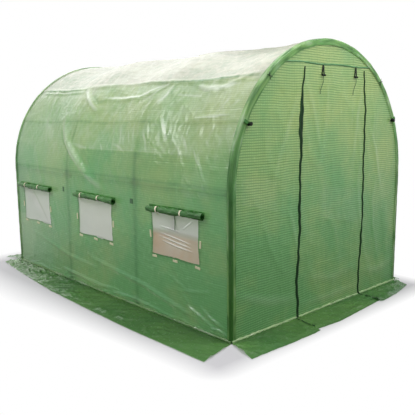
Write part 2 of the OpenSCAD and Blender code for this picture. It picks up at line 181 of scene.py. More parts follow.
# Roof cover and side walls
# Woven sheet with a clear coating, sewn in one length over the hoops. It is
# drawn tight at the hoops, flattens between the purlins, and keeps the folds
# of its packing. Each wall has three window openings with a doubled edge.
sides = (("left", -1), ("right", 1))
sheet_r = 0.9985
end_y = 1.5
arch_top = wall_top + math.pi * sheet_r / 2
arch_far = wall_top + math.pi * sheet_r
arch_end = arch_far + wall_top
base_turn = 0.02
hoop_first = -1.47835
hoop_pitch = 0.98557
span_angles = (46, 90, 134, 180)
span_ends = [0.0, wall_top] + [wall_top + sheet_r * math.radians(a) for a in span_angles] + [arch_end]
span_sag = (0.006, 0.023, 0.036, 0.036, 0.023, 0.006)
purlin_drop = 0.007
crown_half = 0.80
window_sill = 0.46
window_head = 0.79
window_mids = (1.09, 0.07, -0.95)
window_half = 0.25
edge_hem = 0.011
sheet_columns = 300
roof_rows = 312
wall_rows = 183

# Folds on the left: height, half-width, then places along the tunnel and up over the arch
left_folds = (
    (0.023, 0.028, ((0.69, 1.45), (0.60, 1.32), (0.538, 1.24), (0.42, 1.139), (0.224, 0.999), (-0.028, 0.879))),
    (0.018, 0.024, ((0.577, 1.745), (0.455, 1.637), (0.269, 1.538), (0.20, 1.50))),
    (0.010, 0.012, ((1.46, 1.785), (1.05, 1.765), (0.62, 1.765))),
    (0.007, 0.012, ((1.40, 1.735), (1.0, 1.722), (0.60, 1.72))),
    (0.015, 0.020, ((0.62, 1.775), (0.241, 1.785), (-0.22, 1.79), (-0.489, 1.772), (-0.72, 1.772), (-0.934, 1.772),
                    (-1.121, 1.785), (-1.40, 1.80))),
    (0.010, 0.016, ((0.21, 1.629), (-0.05, 1.622), (-0.293, 1.635), (-0.42, 1.69), (-0.509, 1.744))),
    (0.009, 0.014, ((-0.587, 1.755), (-0.476, 1.683), (-0.359, 1.629), (-0.25, 1.60))),
    (0.008, 0.014, ((-0.636, 1.755), (-0.608, 1.667), (-0.571, 1.593), (-0.55, 1.54))),
    (0.003, 0.013, ((-0.70, 1.755), (-0.72, 1.66), (-0.70, 1.56), (-0.66, 1.48), (-0.60, 1.38))),
    (0.003, 0.013, ((-0.78, 1.74), (-0.83, 1.64), (-0.82, 1.53), (-0.78, 1.43))),
    (0.003, 0.012, ((-0.48, 1.60), (-0.45, 1.48), (-0.46, 1.36), (-0.50, 1.24))),
    (0.003, 0.011, ((-0.92, 1.66), (-0.97, 1.55), (-0.98, 1.42), (-0.95, 1.30))),
    (0.003, 0.011, ((-1.10, 1.64), (-1.15, 1.50), (-1.18, 1.34), (-1.24, 1.20))),
    (0.005, 0.011, ((0.40, 1.60), (0.34, 1.48), (0.32, 1.38))),
    (0.005, 0.011, ((1.20, 1.66), (1.12, 1.52), (1.08, 1.36), (1.10, 1.22))),
    (0.005, 0.011, ((0.95, 1.60), (0.90, 1.45), (0.92, 1.30))),
    (0.010, 0.018, ((-0.80, 1.76), (-0.928, 1.708), (-1.06, 1.685), (-1.185, 1.692), (-1.35, 1.783))),
    (0.006, 0.012, ((-0.98, 1.44), (-1.183, 1.46), (-1.38, 1.468))),
    (0.008, 0.016, ((-1.09, 1.26), (-1.121, 1.197), (-1.247, 0.997), (-1.294, 0.905))),
    (0.007, 0.015, ((-0.53, 1.42), (-0.567, 1.345), (-0.612, 1.233))),
    (0.007, 0.015, ((-0.64, 1.48), (-0.68, 1.424), (-0.771, 1.274))),
    (0.007, 0.020, ((-0.05, 1.47), (-0.14, 1.33), (-0.17, 1.15))),
    (0.006, 0.012, ((-0.84, 0.345), (-1.002, 0.281), (-1.08, 0.26))),
    (0.006, 0.012, ((-0.95, 0.235), (-1.207, 0.271), (-1.30, 0.29))),
    (0.006, 0.012, ((-1.02, 0.22), (-1.053, 0.20), (-1.154, 0.104))),
    (0.014, 0.016, ((0.20, 0.29), (0.078, 0.26), (-0.595, 0.192), (-1.103, 0.091), (-1.25, 0.07))),
    (0.012, 0.016, ((1.15, 0.335), (1.066, 0.324), (0.509, 0.227), (0.084, 0.191))),
    (0.016, 0.011, ((0.62, 0.085), (0.30, 0.075), (0.05, 0.06), (-0.22, 0.07))),
    (0.016, 0.011, ((-0.10, 0.045), (-0.45, 0.055), (-0.80, 0.04))),
    (0.015, 0.010, ((-1.05, 0.16), (-1.20, 0.115), (-1.33, 0.06))),
    (0.014, 0.010, ((-1.22, 0.17), (-1.31, 0.12), (-1.42, 0.085))),
    (0.014, 0.009, ((-1.30, 0.045), (-1.38, 0.06), (-1.46, 0.04))),
)
# Folds on the far side, laid the same way with the arch measured from the right
right_folds = (
    (0.014, 0.020, ((1.40, 1.77), (0.60, 1.765), (-0.10, 1.785), (-0.70, 1.77), (-1.40, 1.79))),
    (0.014, 0.028, ((-0.62, 1.44), (-0.45, 1.22), (-0.20, 1.02), (0.05, 0.90))),
    (0.009, 0.016, ((0.52, 1.75), (0.38, 1.66), (0.18, 1.60))),
    (0.008, 0.016, ((0.60, 1.75), (0.66, 1.62), (0.70, 1.50))),
    (0.010, 0.018, ((-0.55, 1.76), (-0.80, 1.69), (-1.05, 1.69), (-1.30, 1.78))),
    (0.008, 0.016, ((1.05, 1.32), (1.15, 1.12), (1.26, 0.92))),
    (0.013, 0.016, ((-1.10, 0.33), (-0.45, 0.22), (0.30, 0.16), (0.95, 0.10))),
    (0.015, 0.011, ((-0.90, 0.08), (-0.40, 0.06), (0.05, 0.075))),
    (0.015, 0.011, ((0.75, 0.05), (1.05, 0.07), (1.35, 0.05))),
    (0.006, 0.012, ((0.78, 0.36), (1.00, 0.28), (1.20, 0.27))),
)
# Painted highlights along creases, and painted shade where the sheet tucks under: strength, half-width, then the
# same places
painted_creases = (
    (-0.7, 0.009, ((-0.22, 1.775), (-0.41, 1.764), (-0.53, 1.758), (-0.70, 1.765), (-0.77, 1.764), (-0.92, 1.768),
      (-1.04, 1.771), (-1.26, 1.780), (-1.40, 1.780), (-1.49, 1.773))),
    (0.9, 0.01, ((0.22, 1.645), (0.07, 1.648), (-0.28, 1.634))),
    (0.9, 0.011, ((-0.01, 1.644), (-0.19, 1.636), (-0.33, 1.651), (-0.44, 1.712), (-0.55, 1.746))),
    (0.8, 0.009, ((-0.36, 1.613), (-0.43, 1.632), (-0.47, 1.671), (-0.51, 1.708))),
    (1.0, 0.012, ((-0.56, 1.574), (-0.61, 1.636), (-0.62, 1.679), (-0.63, 1.717))),
    (-0.5, 0.012, ((-0.64, 1.634), (-0.66, 1.723))),
    (1.0, 0.02, ((-0.93, 1.714), (-0.99, 1.682), (-1.10, 1.683), (-1.20, 1.698), (-1.30, 1.726))),
    (1.0, 0.007, ((-1.02, 1.450), (-1.13, 1.453), (-1.24, 1.458), (-1.35, 1.466))),
    (0.6, 0.009, ((-0.74, 1.641), (-0.98, 1.629))),
    (0.5, 0.01, ((-1.26, 1.543), (-1.29, 1.608))),
    (0.5, 0.01, ((-1.36, 1.535), (-1.39, 1.575))),
    (0.9, 0.01, ((-0.69, 1.432), (-0.74, 1.361), (-0.79, 1.294))),
    (-0.5, 0.01, ((-0.57, 1.307), (-0.63, 1.251), (-0.73, 1.215))),
    (0.6, 0.012, ((-0.53, 1.323), (-0.58, 1.261), (-0.60, 1.205))),
    (0.5, 0.01, ((-0.96, 1.298), (-1.00, 1.246), (-1.02, 1.205))),
    (0.7, 0.009, ((-1.10, 1.219), (-1.13, 1.174), (-1.16, 1.131))),
    (0.4, 0.009, ((-0.25, 1.331), (-0.30, 1.235))),
    (0.4, 0.009, ((-0.33, 1.338), (-0.38, 1.237))),
    (0.5, 0.009, ((-0.91, 1.243), (-0.96, 1.192), (-0.95, 1.150))),
    (0.9, 0.008, ((1.32, 1.811), (1.01, 1.795), (0.90, 1.775))),
    (-0.6, 0.008, ((1.39, 1.773), (0.99, 1.756), (0.60, 1.748))),
    (0.9, 0.008, ((1.34, 1.745), (1.03, 1.737), (0.85, 1.731))),
    (-0.5, 0.007, ((0.85, 1.705), (0.67, 1.708))),
    (1.0, 0.017, ((0.58, 1.742), (0.451, 1.639), (0.346, 1.570), (0.248, 1.524))),
    (-0.6, 0.03, ((0.41, 1.661), (0.29, 1.591), (0.20, 1.620))),
    (0.45, 0.032, ((0.68, 1.400), (0.600, 1.311), (0.505, 1.212), (0.42, 1.140), (0.325, 1.070), (0.20, 0.990))),
    (0.4, 0.011, ((0.71, 1.415), (0.645, 1.320), (0.55, 1.222), (0.465, 1.150), (0.36, 1.080))),
    (0.45, 0.030, ((0.24, 1.02), (0.15, 0.955), (0.05, 0.912), (-0.05, 0.882))),
    (-0.55, 0.016, ((0.45, 1.398), (0.44, 1.321), (0.45, 1.232))),
    (-0.45, 0.014, ((0.69, 1.338), (0.61, 1.235), (0.47, 1.126))),
    (0.35, 0.014, ((0.42, 1.213), (0.24, 1.180), (0.18, 1.126))),
    (0.3, 0.05, ((1.11, 1.491), (0.97, 1.335), (0.84, 1.264))),
    (0.4, 0.01, ((-0.19, 1.374), (-0.24, 1.288), (-0.25, 1.228))),
    (0.4, 0.01, ((-0.39, 1.364), (-0.42, 1.257))),
    (0.5, 0.01, ((0.05, 1.231), (-0.00, 1.171))),
    (0.5, 0.01, ((-0.15, 1.231), (-0.26, 1.205), (-0.33, 1.166))),
)
# Painted shadows of the hoops and purlins behind the sheet: the hoops' half-width, the purlins' half-width, then
# each purlin's height and depth
tube_half = 0.022
purlin_half = 0.012
purlin_shadows = ((0.976, 0.52), (1.41, 0.34))
# Height of a painted line of light and shade on the walls: lighter above it, darker below it
shade_line_height = 1.175


def polyline_gap(a, b, line):
    # Distance to a line of points, and the share of the line's length passed there
    best = np.full(a.shape, 1e9)
    share = np.zeros(a.shape)
    lengths = [math.dist(p, q) for p, q in zip(line, line[1:])]
    passed = 0.0
    for (p, q), length in zip(zip(line, line[1:]), lengths):
        along = ((a - p[0]) * (q[0] - p[0]) + (b - p[1]) * (q[1] - p[1])) / length ** 2
        along = np.clip(along, 0, 1)
        gap = np.hypot(a - p[0] - along * (q[0] - p[0]), b - p[1] - along * (q[1] - p[1]))
        nearer = gap < best
        best[nearer] = gap[nearer]
        share[nearer] = (passed + along[nearer] * length) / sum(lengths)
        passed += length
    return best, share


def near_lines(a, b, lines, reach):
    # For each line of points: its value and half-width, what lies near it, how far off, and the share passed
    for value, half, line in lines:
        low = np.min(line, axis=0) - reach * half
        high = np.max(line, axis=0) + reach * half
        near = (a > low[0]) & (a < high[0]) & (b > low[1]) & (b < high[1])
        if near.any():
            yield value, half, near, *polyline_gap(a[near], b[near], line)


def fold_heights(a, b, folds):
    height = np.zeros(a.shape)
    for top, half, near, gap, share in near_lines(a, b, folds, 3):
        flank = np.clip(1 - np.sqrt(gap ** 2 + 9e-6) / (1.7 * half), 0, 1)
        height[near] += top * flank * np.sin(np.pi * np.clip(share, 0.03, 0.97)) ** 0.5
    return height


def crease_marks(a, b, creases):
    mark = np.zeros(a.shape)
    for strength, half, near, gap, share in near_lines(a, b, creases, 2):
        ends_fade = np.sin(np.pi * np.clip(share, 0.03, 0.97)) ** 0.4
        mark[near] += strength * np.clip(1.35 - gap / half, 0, 1) * ends_fade
    return mark


def soft_noise(a, b, size_a, size_b, seed):
    return np.array([noise.noise(Vector((p / size_a, q / size_b, seed))) for p, q in zip(a, b)])


def crease_noise(a, b, size_a, size_b, seed):
    return np.clip(1 - 2.6 * np.abs(soft_noise(a, b, size_a, size_b, seed)), 0, 1) ** 2


def ramp(value, start, end):
    # From nought at the start to one at the end, and held beyond them
    return np.clip((value - start) / (end - start), 0, 1)


def cover_slack(y, s):
    # Offset of the sheet outwards from the plain arch
    bay = np.clip((y - hoop_first) / hoop_pitch, 0, 3)
    free = np.sin(np.pi * bay) ** 2
    drop = np.zeros(y.shape)
    for start, end, sag in zip(span_ends, span_ends[1:], span_sag):
        inside = (s >= start) & (s <= end)
        share = (s[inside] - start) / (end - start)
        drop[inside] = 4 * sag * share * (1 - share)
    over_roof = ramp(s, wall_top - 0.1, wall_top + 0.1) * ramp(s, arch_far + 0.1, arch_far - 0.1)
    slack = -free * (drop + purlin_drop * over_roof)
    slack += fold_heights(y, s, left_folds)
    slack += fold_heights(y, arch_end - s, right_folds)
    from_ridge = np.abs(s - arch_top)
    slant = y + 0.5 * from_ridge
    slack += 0.004 * soft_noise(y, s, 0.45, 0.35, 1.3) * (0.3 + 0.7 * free)
    calm = 1 - 0.3 * ramp(from_ridge, crown_half, crown_half - 0.1)
    calm *= np.clip((end_y - 0.05 - np.abs(y)) / 0.25, 0.15, 1)
    slack += 0.0060 * crease_noise(slant, s, 0.30, 0.55, 7.1) * (0.4 + 0.6 * free) * calm
    slack += 0.0018 * crease_noise(y, s, 0.05, 0.20, 3.7) * calm
    slack += 0.0018 * crease_noise(slant, s, 0.055, 0.08, 9.3) * calm
    slack += 0.0006 * soft_noise(y, s, 0.030, 0.045, 5.9) * calm
    low = np.minimum(s, arch_end - s)
    slack += 0.008 * crease_noise(y + 2 * low, low, 0.16, 0.05, 11.7) * np.exp(-(low / 0.08) ** 2)
    return slack


def cover_painted_light(y, s):
    # Painted light and shade: above nought, painted highlights along the creases; below it, painted shade in the
    # tucks and painted shadows of the tubes behind
    low = np.minimum(s, arch_end - s)
    along = np.where(s < arch_top, y, -y)
    from_ridge = np.abs(s - arch_top)
    crown = from_ridge < crown_half
    painted_light = crease_marks(y, s, painted_creases) + crease_marks(-y, arch_end - s, painted_creases)
    # Painted shadows of the two middle hoops and of the purlins behind the sheet
    for hoop in (hoop_first + hoop_pitch, hoop_first + 2 * hoop_pitch):
        painted_light -= 0.42 * np.exp(-((y - hoop) / tube_half) ** 2) * (0.3 + 0.7 * ramp(low, 1.30, 1.15))
    for height, depth in purlin_shadows:
        painted_light -= depth * np.exp(-((low - height) / purlin_half) ** 2)
    # The painted line of light and shade, over part of the length of each wall
    band_mask = ramp(along, 0.34, 0.26) * ramp(along, -1.15, -0.70)
    above = low - shade_line_height
    painted_light += band_mask * np.where(above > 0, 0.18 * np.exp(-above / 0.10), -0.42 * np.exp(above / 0.18))
    # Painted highlights and shade of fine crinkles, high on the walls and over the crown
    upper = ramp(low, 1.0, 1.2)
    painted_light += 0.17 * crease_noise(y + 0.4 * low, low, 0.10, 0.19, 21.3) * upper
    painted_light += 0.16 * crease_noise(y - 0.3 * low, low, 0.055, 0.085, 31.7) * upper
    over_head = ramp(from_ridge, crown_half, crown_half - 0.06)
    painted_light -= 0.30 * crease_noise(y, s, 0.42, 0.075, 25.1) * over_head
    painted_light -= 0.26 * crease_noise(along + 0.7 * low, low, 0.11, 0.30, 27.7) * over_head
    painted_light += 0.30 * crease_noise(along - 0.5 * low, low, 0.13, 0.28, 29.9) * over_head
    # More painted light and shade that varies along the tunnel, over the crown and on the walls
    painted_light -= 0.30 * ramp(along, 0.70, 0.76) * ramp(from_ridge, 0.3, 0.5) * crown
    painted_light -= 0.16 * ramp(along, -0.5, -0.9) * crown
    painted_light += 0.08 * ramp(along, -0.6, -1.0) * ramp(low, 1.2, 1.3) * ~crown
    painted_light += 0.10 * ramp(along, 0.75, 1.25) * (1 + 1.8 * (low < 0.5)) * ~crown
    return painted_light


def arch_place(y, s, out):
    # Points over the arch: up the left wall, round the roof and down the right wall
    angle = np.clip((s - wall_top) / sheet_r, 0, math.pi)
    x = -np.cos(angle) * (sheet_r + out)
    z = np.minimum(s, arch_end - s)
    z = np.where((s > wall_top) & (s < arch_far), wall_top + np.sin(angle) * (sheet_r + out), z)
    return np.column_stack([x, y, z])


def window_gap(y, z):
    # Distance outside the nearest window opening
    best = np.full(y.shape, 1e9)
    for mid in window_mids:
        gap_y = np.maximum(np.abs(y - mid) - window_half, 0)
        gap_z = np.maximum(np.maximum(window_sill - z, z - window_head), 0)
        best = np.minimum(best, np.hypot(gap_y, gap_z))
    return best


def window_pull(y, z):
    # The sides of an opening draw in between its corners and the sill hangs a little
    move_y = np.zeros(y.shape)
    move_z = np.zeros(y.shape)
    for mid in window_mids:
        fade = np.exp(-window_gap(y, z) / 0.05) * (np.abs(y - mid) < window_half + 0.2)
        up = np.clip((z - window_sill) / (window_head - window_sill), 0, 1)
        across = np.clip((y - mid) / window_half, -1, 1)
        move_y -= 0.007 * np.sin(np.pi * up) * across * fade
        move_z += 0.003 * np.cos(np.pi * across * 1.5) * (up < 0.5) * fade
    return move_y, move_z


def finish_piece(bm, name, material, smooth=True):
    mesh = bpy.data.meshes.new(name)
    bm.to_mesh(mesh)
    bm.free()
    if smooth:
        mesh.shade_smooth()
    mesh.materials.append(material)
    piece = bpy.data.objects.new(name, mesh)
    bpy.context.collection.objects.link(piece)
    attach(piece, "root")
    return piece


def woven_sheet(name, material, columns, rows, shape, cut=None):
    # A flat grid, put in its place by shape(), which also gives the cloth's own measure, doubled edges and painted
    # light and shade
    bm = bmesh.new()
    bmesh.ops.create_grid(bm, x_segments=columns, y_segments=rows, size=0.5)
    if cut:
        gone = [f for f in bm.faces if cut(f.calc_center_median().x + 0.5, f.calc_center_median().y + 0.5)]
        bmesh.ops.delete(bm, geom=gone, context="FACES")
    bm.verts.index_update()
    flat = np.array([v.co[:2] for v in bm.verts]) + 0.5
    places, cloth, doubled, *marks = shape(flat[:, 0], flat[:, 1])
    marks = marks[0] if marks else np.zeros(len(places))
    edge = bm.verts.layers.float.new("double")
    # Painted light and shade: above nought painted highlights, below it painted shade
    painted_layer = bm.verts.layers.float.new("painted_light")
    measure = bm.loops.layers.uv.new("cloth")
    for v, place, share, mark in zip(bm.verts, places, doubled, marks):
        v.co = place
        v[edge] = share
        v[painted_layer] = mark
    for face in bm.faces:
        for loop in face.loops:
            loop[measure].uv = cloth[loop.vert.index]
    bmesh.ops.recalc_face_normals(bm, faces=bm.faces)
    return finish_piece(bm, name, material)


weave_pitch = 0.0165
# Colours of the painted highlights, on the face and lit from behind
highlight_face = (0.68, 0.74, 0.64, 1)
highlight_lit = (0.84, 0.90, 0.78, 1)
# Colours of the painted sheen over the crown of the roof, on the face and lit from behind
sheen_face = (0.575, 0.48, 0.475, 1)
sheen_lit = (0.72, 0.63, 0.61, 1)
rear_face = (0.255, 0.43, 0.27, 1)
rear_lit = (0.60, 0.80, 0.60, 1)
# Colours of the painted light high up at the front, on the face and lit from behind
door_face = (0.35, 0.44, 0.125, 1)
door_lit = (0.77, 0.82, 0.40, 1)
film_tint = (0.82, 0.95, 0.78, 1)
film_glow = 0.42


def cloth_measure(tree):
    return shader_node(tree, "UVMap", uv_map="cloth").outputs["UV"]


def sheet_mark(tree, name):
    return shader_node(tree, "Attribute", attribute_name=name).outputs["Fac"]


def let_through(tree, shader, glow_colour, glow_share, sight_colour, sight_share):
    # Light glows through from behind, and a share of what lies behind is seen
    glow = shader_node(tree, "BsdfTranslucent", {"Color": glow_colour})
    body = shader_node(tree, "MixShader", {"Fac": glow_share, 1: shader.outputs["BSDF"], 2: glow.outputs["BSDF"]})
    sight = shader_node(tree, "BsdfTransparent", {"Color": sight_colour})
    film = shader_node(tree, "MixShader", {"Fac": sight_share, 1: body.outputs["Shader"], 2: sight.outputs["BSDF"]})
    tree.links.new(film.outputs["Shader"], tree.nodes["Material Output"].inputs["Surface"])


def woven_film(name, face_light, face_deep, lit, edge_colour, clear, threads,
               haze=0.7, climb=0.0, pale=0.0, shine=1.7):
    # Coated weave: a glossy face, light let through, and a share seen straight through
    made, tree, shader = blank_material(name)
    measure = cloth_measure(tree)
    drift = shader_node(tree, "TexNoise", {"Vector": measure, "Scale": 3.0, "Detail": 3.0}).outputs["Color"]
    drift = reckon_places(tree, "MULTIPLY", drift, (0.03, 0.03, 0))
    pulled = shader_node(tree, "SeparateXYZ", {"Vector": reckon_places(tree, "ADD", measure, drift)})
    lines = []
    band_mask = []
    for axis, strength, fold_pitch in (("X", 0.45, 0.155), ("Y", 1.0, 0.19)):
        across = pulled.outputs[axis]
        wave = reckon(tree, "SINE", reckon(tree, "MULTIPLY", across, 2 * math.pi / weave_pitch))
        thin = reckon(tree, "POWER", ranged(tree, wave, over=(-1, 1)), 2.0)
        lines.append(reckon(tree, "MULTIPLY", thin, strength))
        apart = reckon(tree, "PINGPONG", across, fold_pitch)
        band_mask.append(ranged(tree, apart, over=(0, 0.007), gives=(1, 0), interpolation_type="SMOOTHSTEP"))
    weave = reckon(tree, "MAXIMUM", *lines)
    folded = reckon(tree, "MAXIMUM", *band_mask)

    split = shader_node(tree, "SeparateXYZ", {"Vector": measure})
    along, upward = split.outputs["X"], split.outputs["Y"]
    cloud = shader_node(tree, "TexNoise", {"Vector": measure, "Scale": 1.5, "Detail": 7.0, "Roughness": 0.6})
    cloud = ranged(tree, cloud.outputs["Fac"], over=(0.36, 0.64))
    # Painted light and shade: the tone is lighter high up and darker low down, as much as climb gives
    height_shade = ranged(tree, upward, over=(0.8, 1.6), gives=(1.4 * climb, -1.2 * climb))
    cloud = reckon(tree, "ADD", cloud, height_shade, use_clamp=True)
    warped = reckon_places(tree, "MULTIPLY_ADD", drift, (5.0, 5.0, 0), measure)
    facets = []
    for turn, size, depth in ((0.6, (9.0, 17.0, 1.0), 1.0), (-0.9, (22.0, 38.0, 1.0), 0.3)):
        laid = shader_node(tree, "Mapping", {"Vector": warped, "Rotation": (0, 0, turn), "Scale": size})
        cell = shader_node(tree, "TexVoronoi", {"Vector": laid.outputs["Vector"], "Scale": 1.0},
                           voronoi_dimensions="2D")
        facets.append(reckon(tree, "MULTIPLY", cell.outputs["Distance"], depth))
    crush = reckon(tree, "ADD", *facets)
    fine = mottle(tree, measure, 45.0, 4.0)
    doubled = sheet_mark(tree, "double")
    painted_light = sheet_mark(tree, "painted_light")

    layers = []
    # On the cover only: a painted sheen over the crown of the roof, weaker part way down, painted brighter and
    # yellower light high up towards the front, and a cooler tone towards the rear
    if pale:
        from_ridge = reckon(tree, "ABSOLUTE", reckon(tree, "SUBTRACT", upward, arch_top))
        crown = ranged(tree, from_ridge, over=(crown_half, crown_half - 0.1), gives=(0, pale))
        lower = ranged(tree, from_ridge, over=(1.45, 0.85), gives=(0, pale * 0.24))
        painted_sheen = reckon(tree, "MAXIMUM", crown, lower)
        cool = ranged(tree, along, over=(0.2, 1.4), gives=(0, 0.45))
        painted_front_light = ranged(tree, along, over=(-0.4, -1.3), gives=(0, 0.38))
        painted_front_light = reckon(tree, "MULTIPLY", painted_front_light, ranged(tree, upward, over=(0.9, 1.25)))
        layers = [(cool, rear_face, rear_lit), (painted_front_light, door_face, door_lit), (painted_sheen, sheen_face, sheen_lit)]
    # Then the weave lines and doubled edges, and the painted highlights and painted shade that the vertices carry;
    # the shade is a darker copy of the deep face colour
    painted_shade_colour = tuple(0.55 * c for c in face_deep[:3]) + (1,)
    layers += [
        (reckon(tree, "MULTIPLY", weave, threads), edge_colour, edge_colour),
        (reckon(tree, "MULTIPLY", doubled, 0.7), edge_colour, edge_colour),
        (ranged(tree, painted_light, gives=(0, 0.8)), highlight_face, highlight_lit),
        (ranged(tree, painted_light, over=(0, -1), gives=(0, 0.75)), painted_shade_colour, painted_shade_colour),
    ]
    face = blend_colours(tree, cloud, face_light, face_deep)
    through = blend_colours(tree, cloud, lit, (lit[0] * 0.62, lit[1] * 0.86, lit[2] * 0.90, 1))
    for share, on_face, when_lit in layers:
        face = blend_colours(tree, share, face, on_face)
        through = blend_colours(tree, share, through, when_lit)

    tree.links.new(face, shader.inputs["Base Color"])
    tree.links.new(ranged(tree, fine, over=(0.3, 0.7), gives=(0.14, 0.30)), shader.inputs["Roughness"])
    shader.inputs["IOR"].default_value = shine
    shader.inputs["Sheen Weight"].default_value = haze
    shader.inputs["Sheen Roughness"].default_value = 0.35
    shader.inputs["Sheen Tint"].default_value = (1.0, 0.97, 0.90, 1)
    height = reckon(tree, "MULTIPLY_ADD", fine, 0.5, weave)
    height = reckon(tree, "MULTIPLY_ADD", folded, 1.6, height)
    height = reckon(tree, "MULTIPLY_ADD", crush, 2.2, height)
    set_relief(tree, shader, height, 0.6, 0.0010)
    let_through(tree, shader, through, film_glow, film_tint, ranged(tree, doubled, gives=(clear, clear * 0.3)))
    return made


cover_film = woven_film("cover_film", (0.285, 0.425, 0.145, 1), (0.098, 0.380, 0.126, 1), (0.68, 0.80, 0.44, 1),
                        (0.035, 0.14, 0.035, 1), 0.08, 0.2, climb=0.25, pale=0.72)


def roof_shape(u, v):
    y = (u - 0.5) * 2 * end_y
    s = wall_top + v * (arch_far - wall_top)
    return arch_place(y, s, cover_slack(y, s)), np.column_stack([y, s]), np.zeros(y.shape), cover_painted_light(y, s)


def wall_point(u, v):
    return (u - 0.5) * 2 * end_y, base_turn + v * (wall_top - base_turn)


def arch_measure(sign, z):
    return arch_end - z if sign > 0 else z


def wall_shape(sign):
    def shape(u, v):
        y, z = wall_point(u, v)
        s = arch_measure(sign, z)
        out = cover_slack(y, s)
        move_y, move_z = window_pull(y, z)
        places = arch_place(y, s, out)
        places[:, 0] = sign * (sheet_r + out)
        places[:, 1] += move_y
        places[:, 2] += move_z
        hemmed = 0.7 * np.clip(1.4 - window_gap(y, z) / edge_hem, 0, 1)
        return places, np.column_stack([y, z]), hemmed, cover_painted_light(y, s)
    return shape


def in_window(u, v):
    y, z = wall_point(u, v)
    return window_sill < z < window_head and any(abs(y - mid) < window_half for mid in window_mids)


roof = woven_sheet("roof_cover_sheet", cover_film, sheet_columns, roof_rows, roof_shape)
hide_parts("roof_cover")
for side, sign in sides:
    wall = woven_sheet(side + "_wall_sheet", cover_film, sheet_columns, wall_rows, wall_shape(sign), in_window)
    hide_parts(side + "_wall")


# Insect nets in the windows
# Fine pale netting sewn behind each opening, a little slack, three in each wall.
# The front ones are creased, with painted white glints along the creases, and
# stained low down; the brace of the rear bay is painted as a dark line of shadow
# on the rear ones.
net_lap = 0.02
net_behind = 0.0025
net_sag = 0.008
net_creases = (
    (0.005, 0.005, ((-0.793, 0.667), (-0.882, 0.659), (-0.980, 0.651))),
    (0.005, 0.004, ((-0.791, 0.617), (-0.957, 0.599), (-1.103, 0.581))),
    (0.005, 0.004, ((-0.779, 0.593), (-0.956, 0.571), (-1.113, 0.555))),
    (0.006, 0.005, ((-0.806, 0.565), (-0.966, 0.544), (-1.122, 0.533))),
    (0.005, 0.005, ((-1.033, 0.677), (-1.085, 0.711), (-1.132, 0.744))),
)
brace_shadow = ((-0.7, 0.013, ((1.187, 0.760), (0.896, 0.482))),)
# Painted white glints, just above the tops of the net's creases
net_glints = tuple((1.0, 0.0034, tuple((y, z + 0.003) for y, z in line)) for _, _, line in net_creases)
stain_top = 0.640
band_mid = 0.632

net_film, tree, shader = blank_material("window_net_film")
measure = cloth_measure(tree)
split = shader_node(tree, "SeparateXYZ", {"Vector": measure})
along, upward = split.outputs["X"], split.outputs["Y"]
painted_light = sheet_mark(tree, "painted_light")
dust = mottle(tree, measure, 6.0, 5.0)
near_door = ranged(tree, along, over=(-0.4, -0.6))
stain = ranged(tree, upward, over=(stain_top, stain_top - 0.035), gives=(0, 1.6))
stain = reckon(tree, "MULTIPLY", reckon(tree, "MULTIPLY", stain, near_door), dust)
band = reckon(tree, "ABSOLUTE", reckon(tree, "SUBTRACT", upward, band_mid))
band = reckon(tree, "MULTIPLY", ranged(tree, band, over=(0.020, 0.006), gives=(0, 0.45)), near_door)
# The painted shadow of the brace darkens the netting; the painted glints turn it white and metallic
shaded = ranged(tree, painted_light, over=(0, -1), gives=(0, 0.8))
netting = blend_colours(tree, dust, (0.86, 0.81, 0.85, 1), (0.76, 0.73, 0.76, 1))
netting = blend_colours(tree, stain, netting, (0.72, 0.40, 0.25, 1))
netting = blend_colours(tree, band, netting, (0.40, 0.38, 0.24, 1))
netting = blend_colours(tree, shaded, netting, (0.36, 0.42, 0.30, 1))
tree.links.new(blend_colours(tree, painted_light, netting, (1.0, 1.0, 1.0, 1)), shader.inputs["Base Color"])
tree.links.new(painted_light, shader.inputs["Metallic"])
shader.inputs["Roughness"].default_value = 0.16
shader.inputs["IOR"].default_value = 1.8
mesh_cells = shader_node(tree, "TexVoronoi", {"Vector": measure, "Scale": 420.0}, distance="CHEBYCHEV")
set_relief(tree, shader, mesh_cells.outputs["Distance"], 0.3, 0.0006)
let_through(tree, shader, (0.98, 0.90, 0.96, 1), 0.4, (1, 1, 1, 1), 0.20)


def net_shape(sign, mid):
    def shape(u, v):
        y = mid + (u - 0.5) * 2 * (window_half + net_lap)
        z = window_sill - net_lap + v * (window_head - window_sill + 2 * net_lap)
        edge = np.minimum(np.minimum(u, 1 - u), np.minimum(v, 1 - v))
        loose = np.clip(edge / 0.08, 0, 1)
        out = cover_slack(y, arch_measure(sign, z)) * (1 - loose) - net_behind
        out -= net_sag * loose * np.sin(np.pi * u) * np.sin(np.pi * v)
        out += loose * (fold_heights(y, z, net_creases) + 0.004 * soft_noise(y, z, 0.16, 0.09, 2.2 + mid))
        place = np.column_stack([sign * (sheet_r + out), y, z])
        marks = loose * crease_marks(y, z, net_glints + brace_shadow)
        return place, np.column_stack([y, z]), np.zeros(y.shape), marks
    return shape


for side, sign in sides:
    for number, mid in enumerate(window_mids):
        columns, rows = (108, 74) if mid > -0.5 else (160, 110)
        net = woven_sheet(f"{side}_window_net_{number + 1}", net_film, columns, rows, net_shape(sign, mid))
        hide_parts(side + "_window_nets")


# Window flaps
# The same sheet as the walls: each flap is sewn on over its opening, rolled
# up outwards and tied, so its rolled ends stand open.
roll_length = 0.63
roll_turns = 4
roll_core = 0.008
roll_out = 0.022
roll_mid_z = 0.79
flap_tail = 0.027
tie_places = (0.155, -0.105)
coil_share = 0.9
drawn_from = 0.19
drawn_in = 0.042

flap_film = woven_film("flap_film", (0.115, 0.33, 0.085, 1), (0.075, 0.255, 0.065, 1), (0.16, 0.40, 0.10, 1),
                       (0.03, 0.11, 0.03, 1), 0.04, 0.2, haze=0.05, shine=1.42)


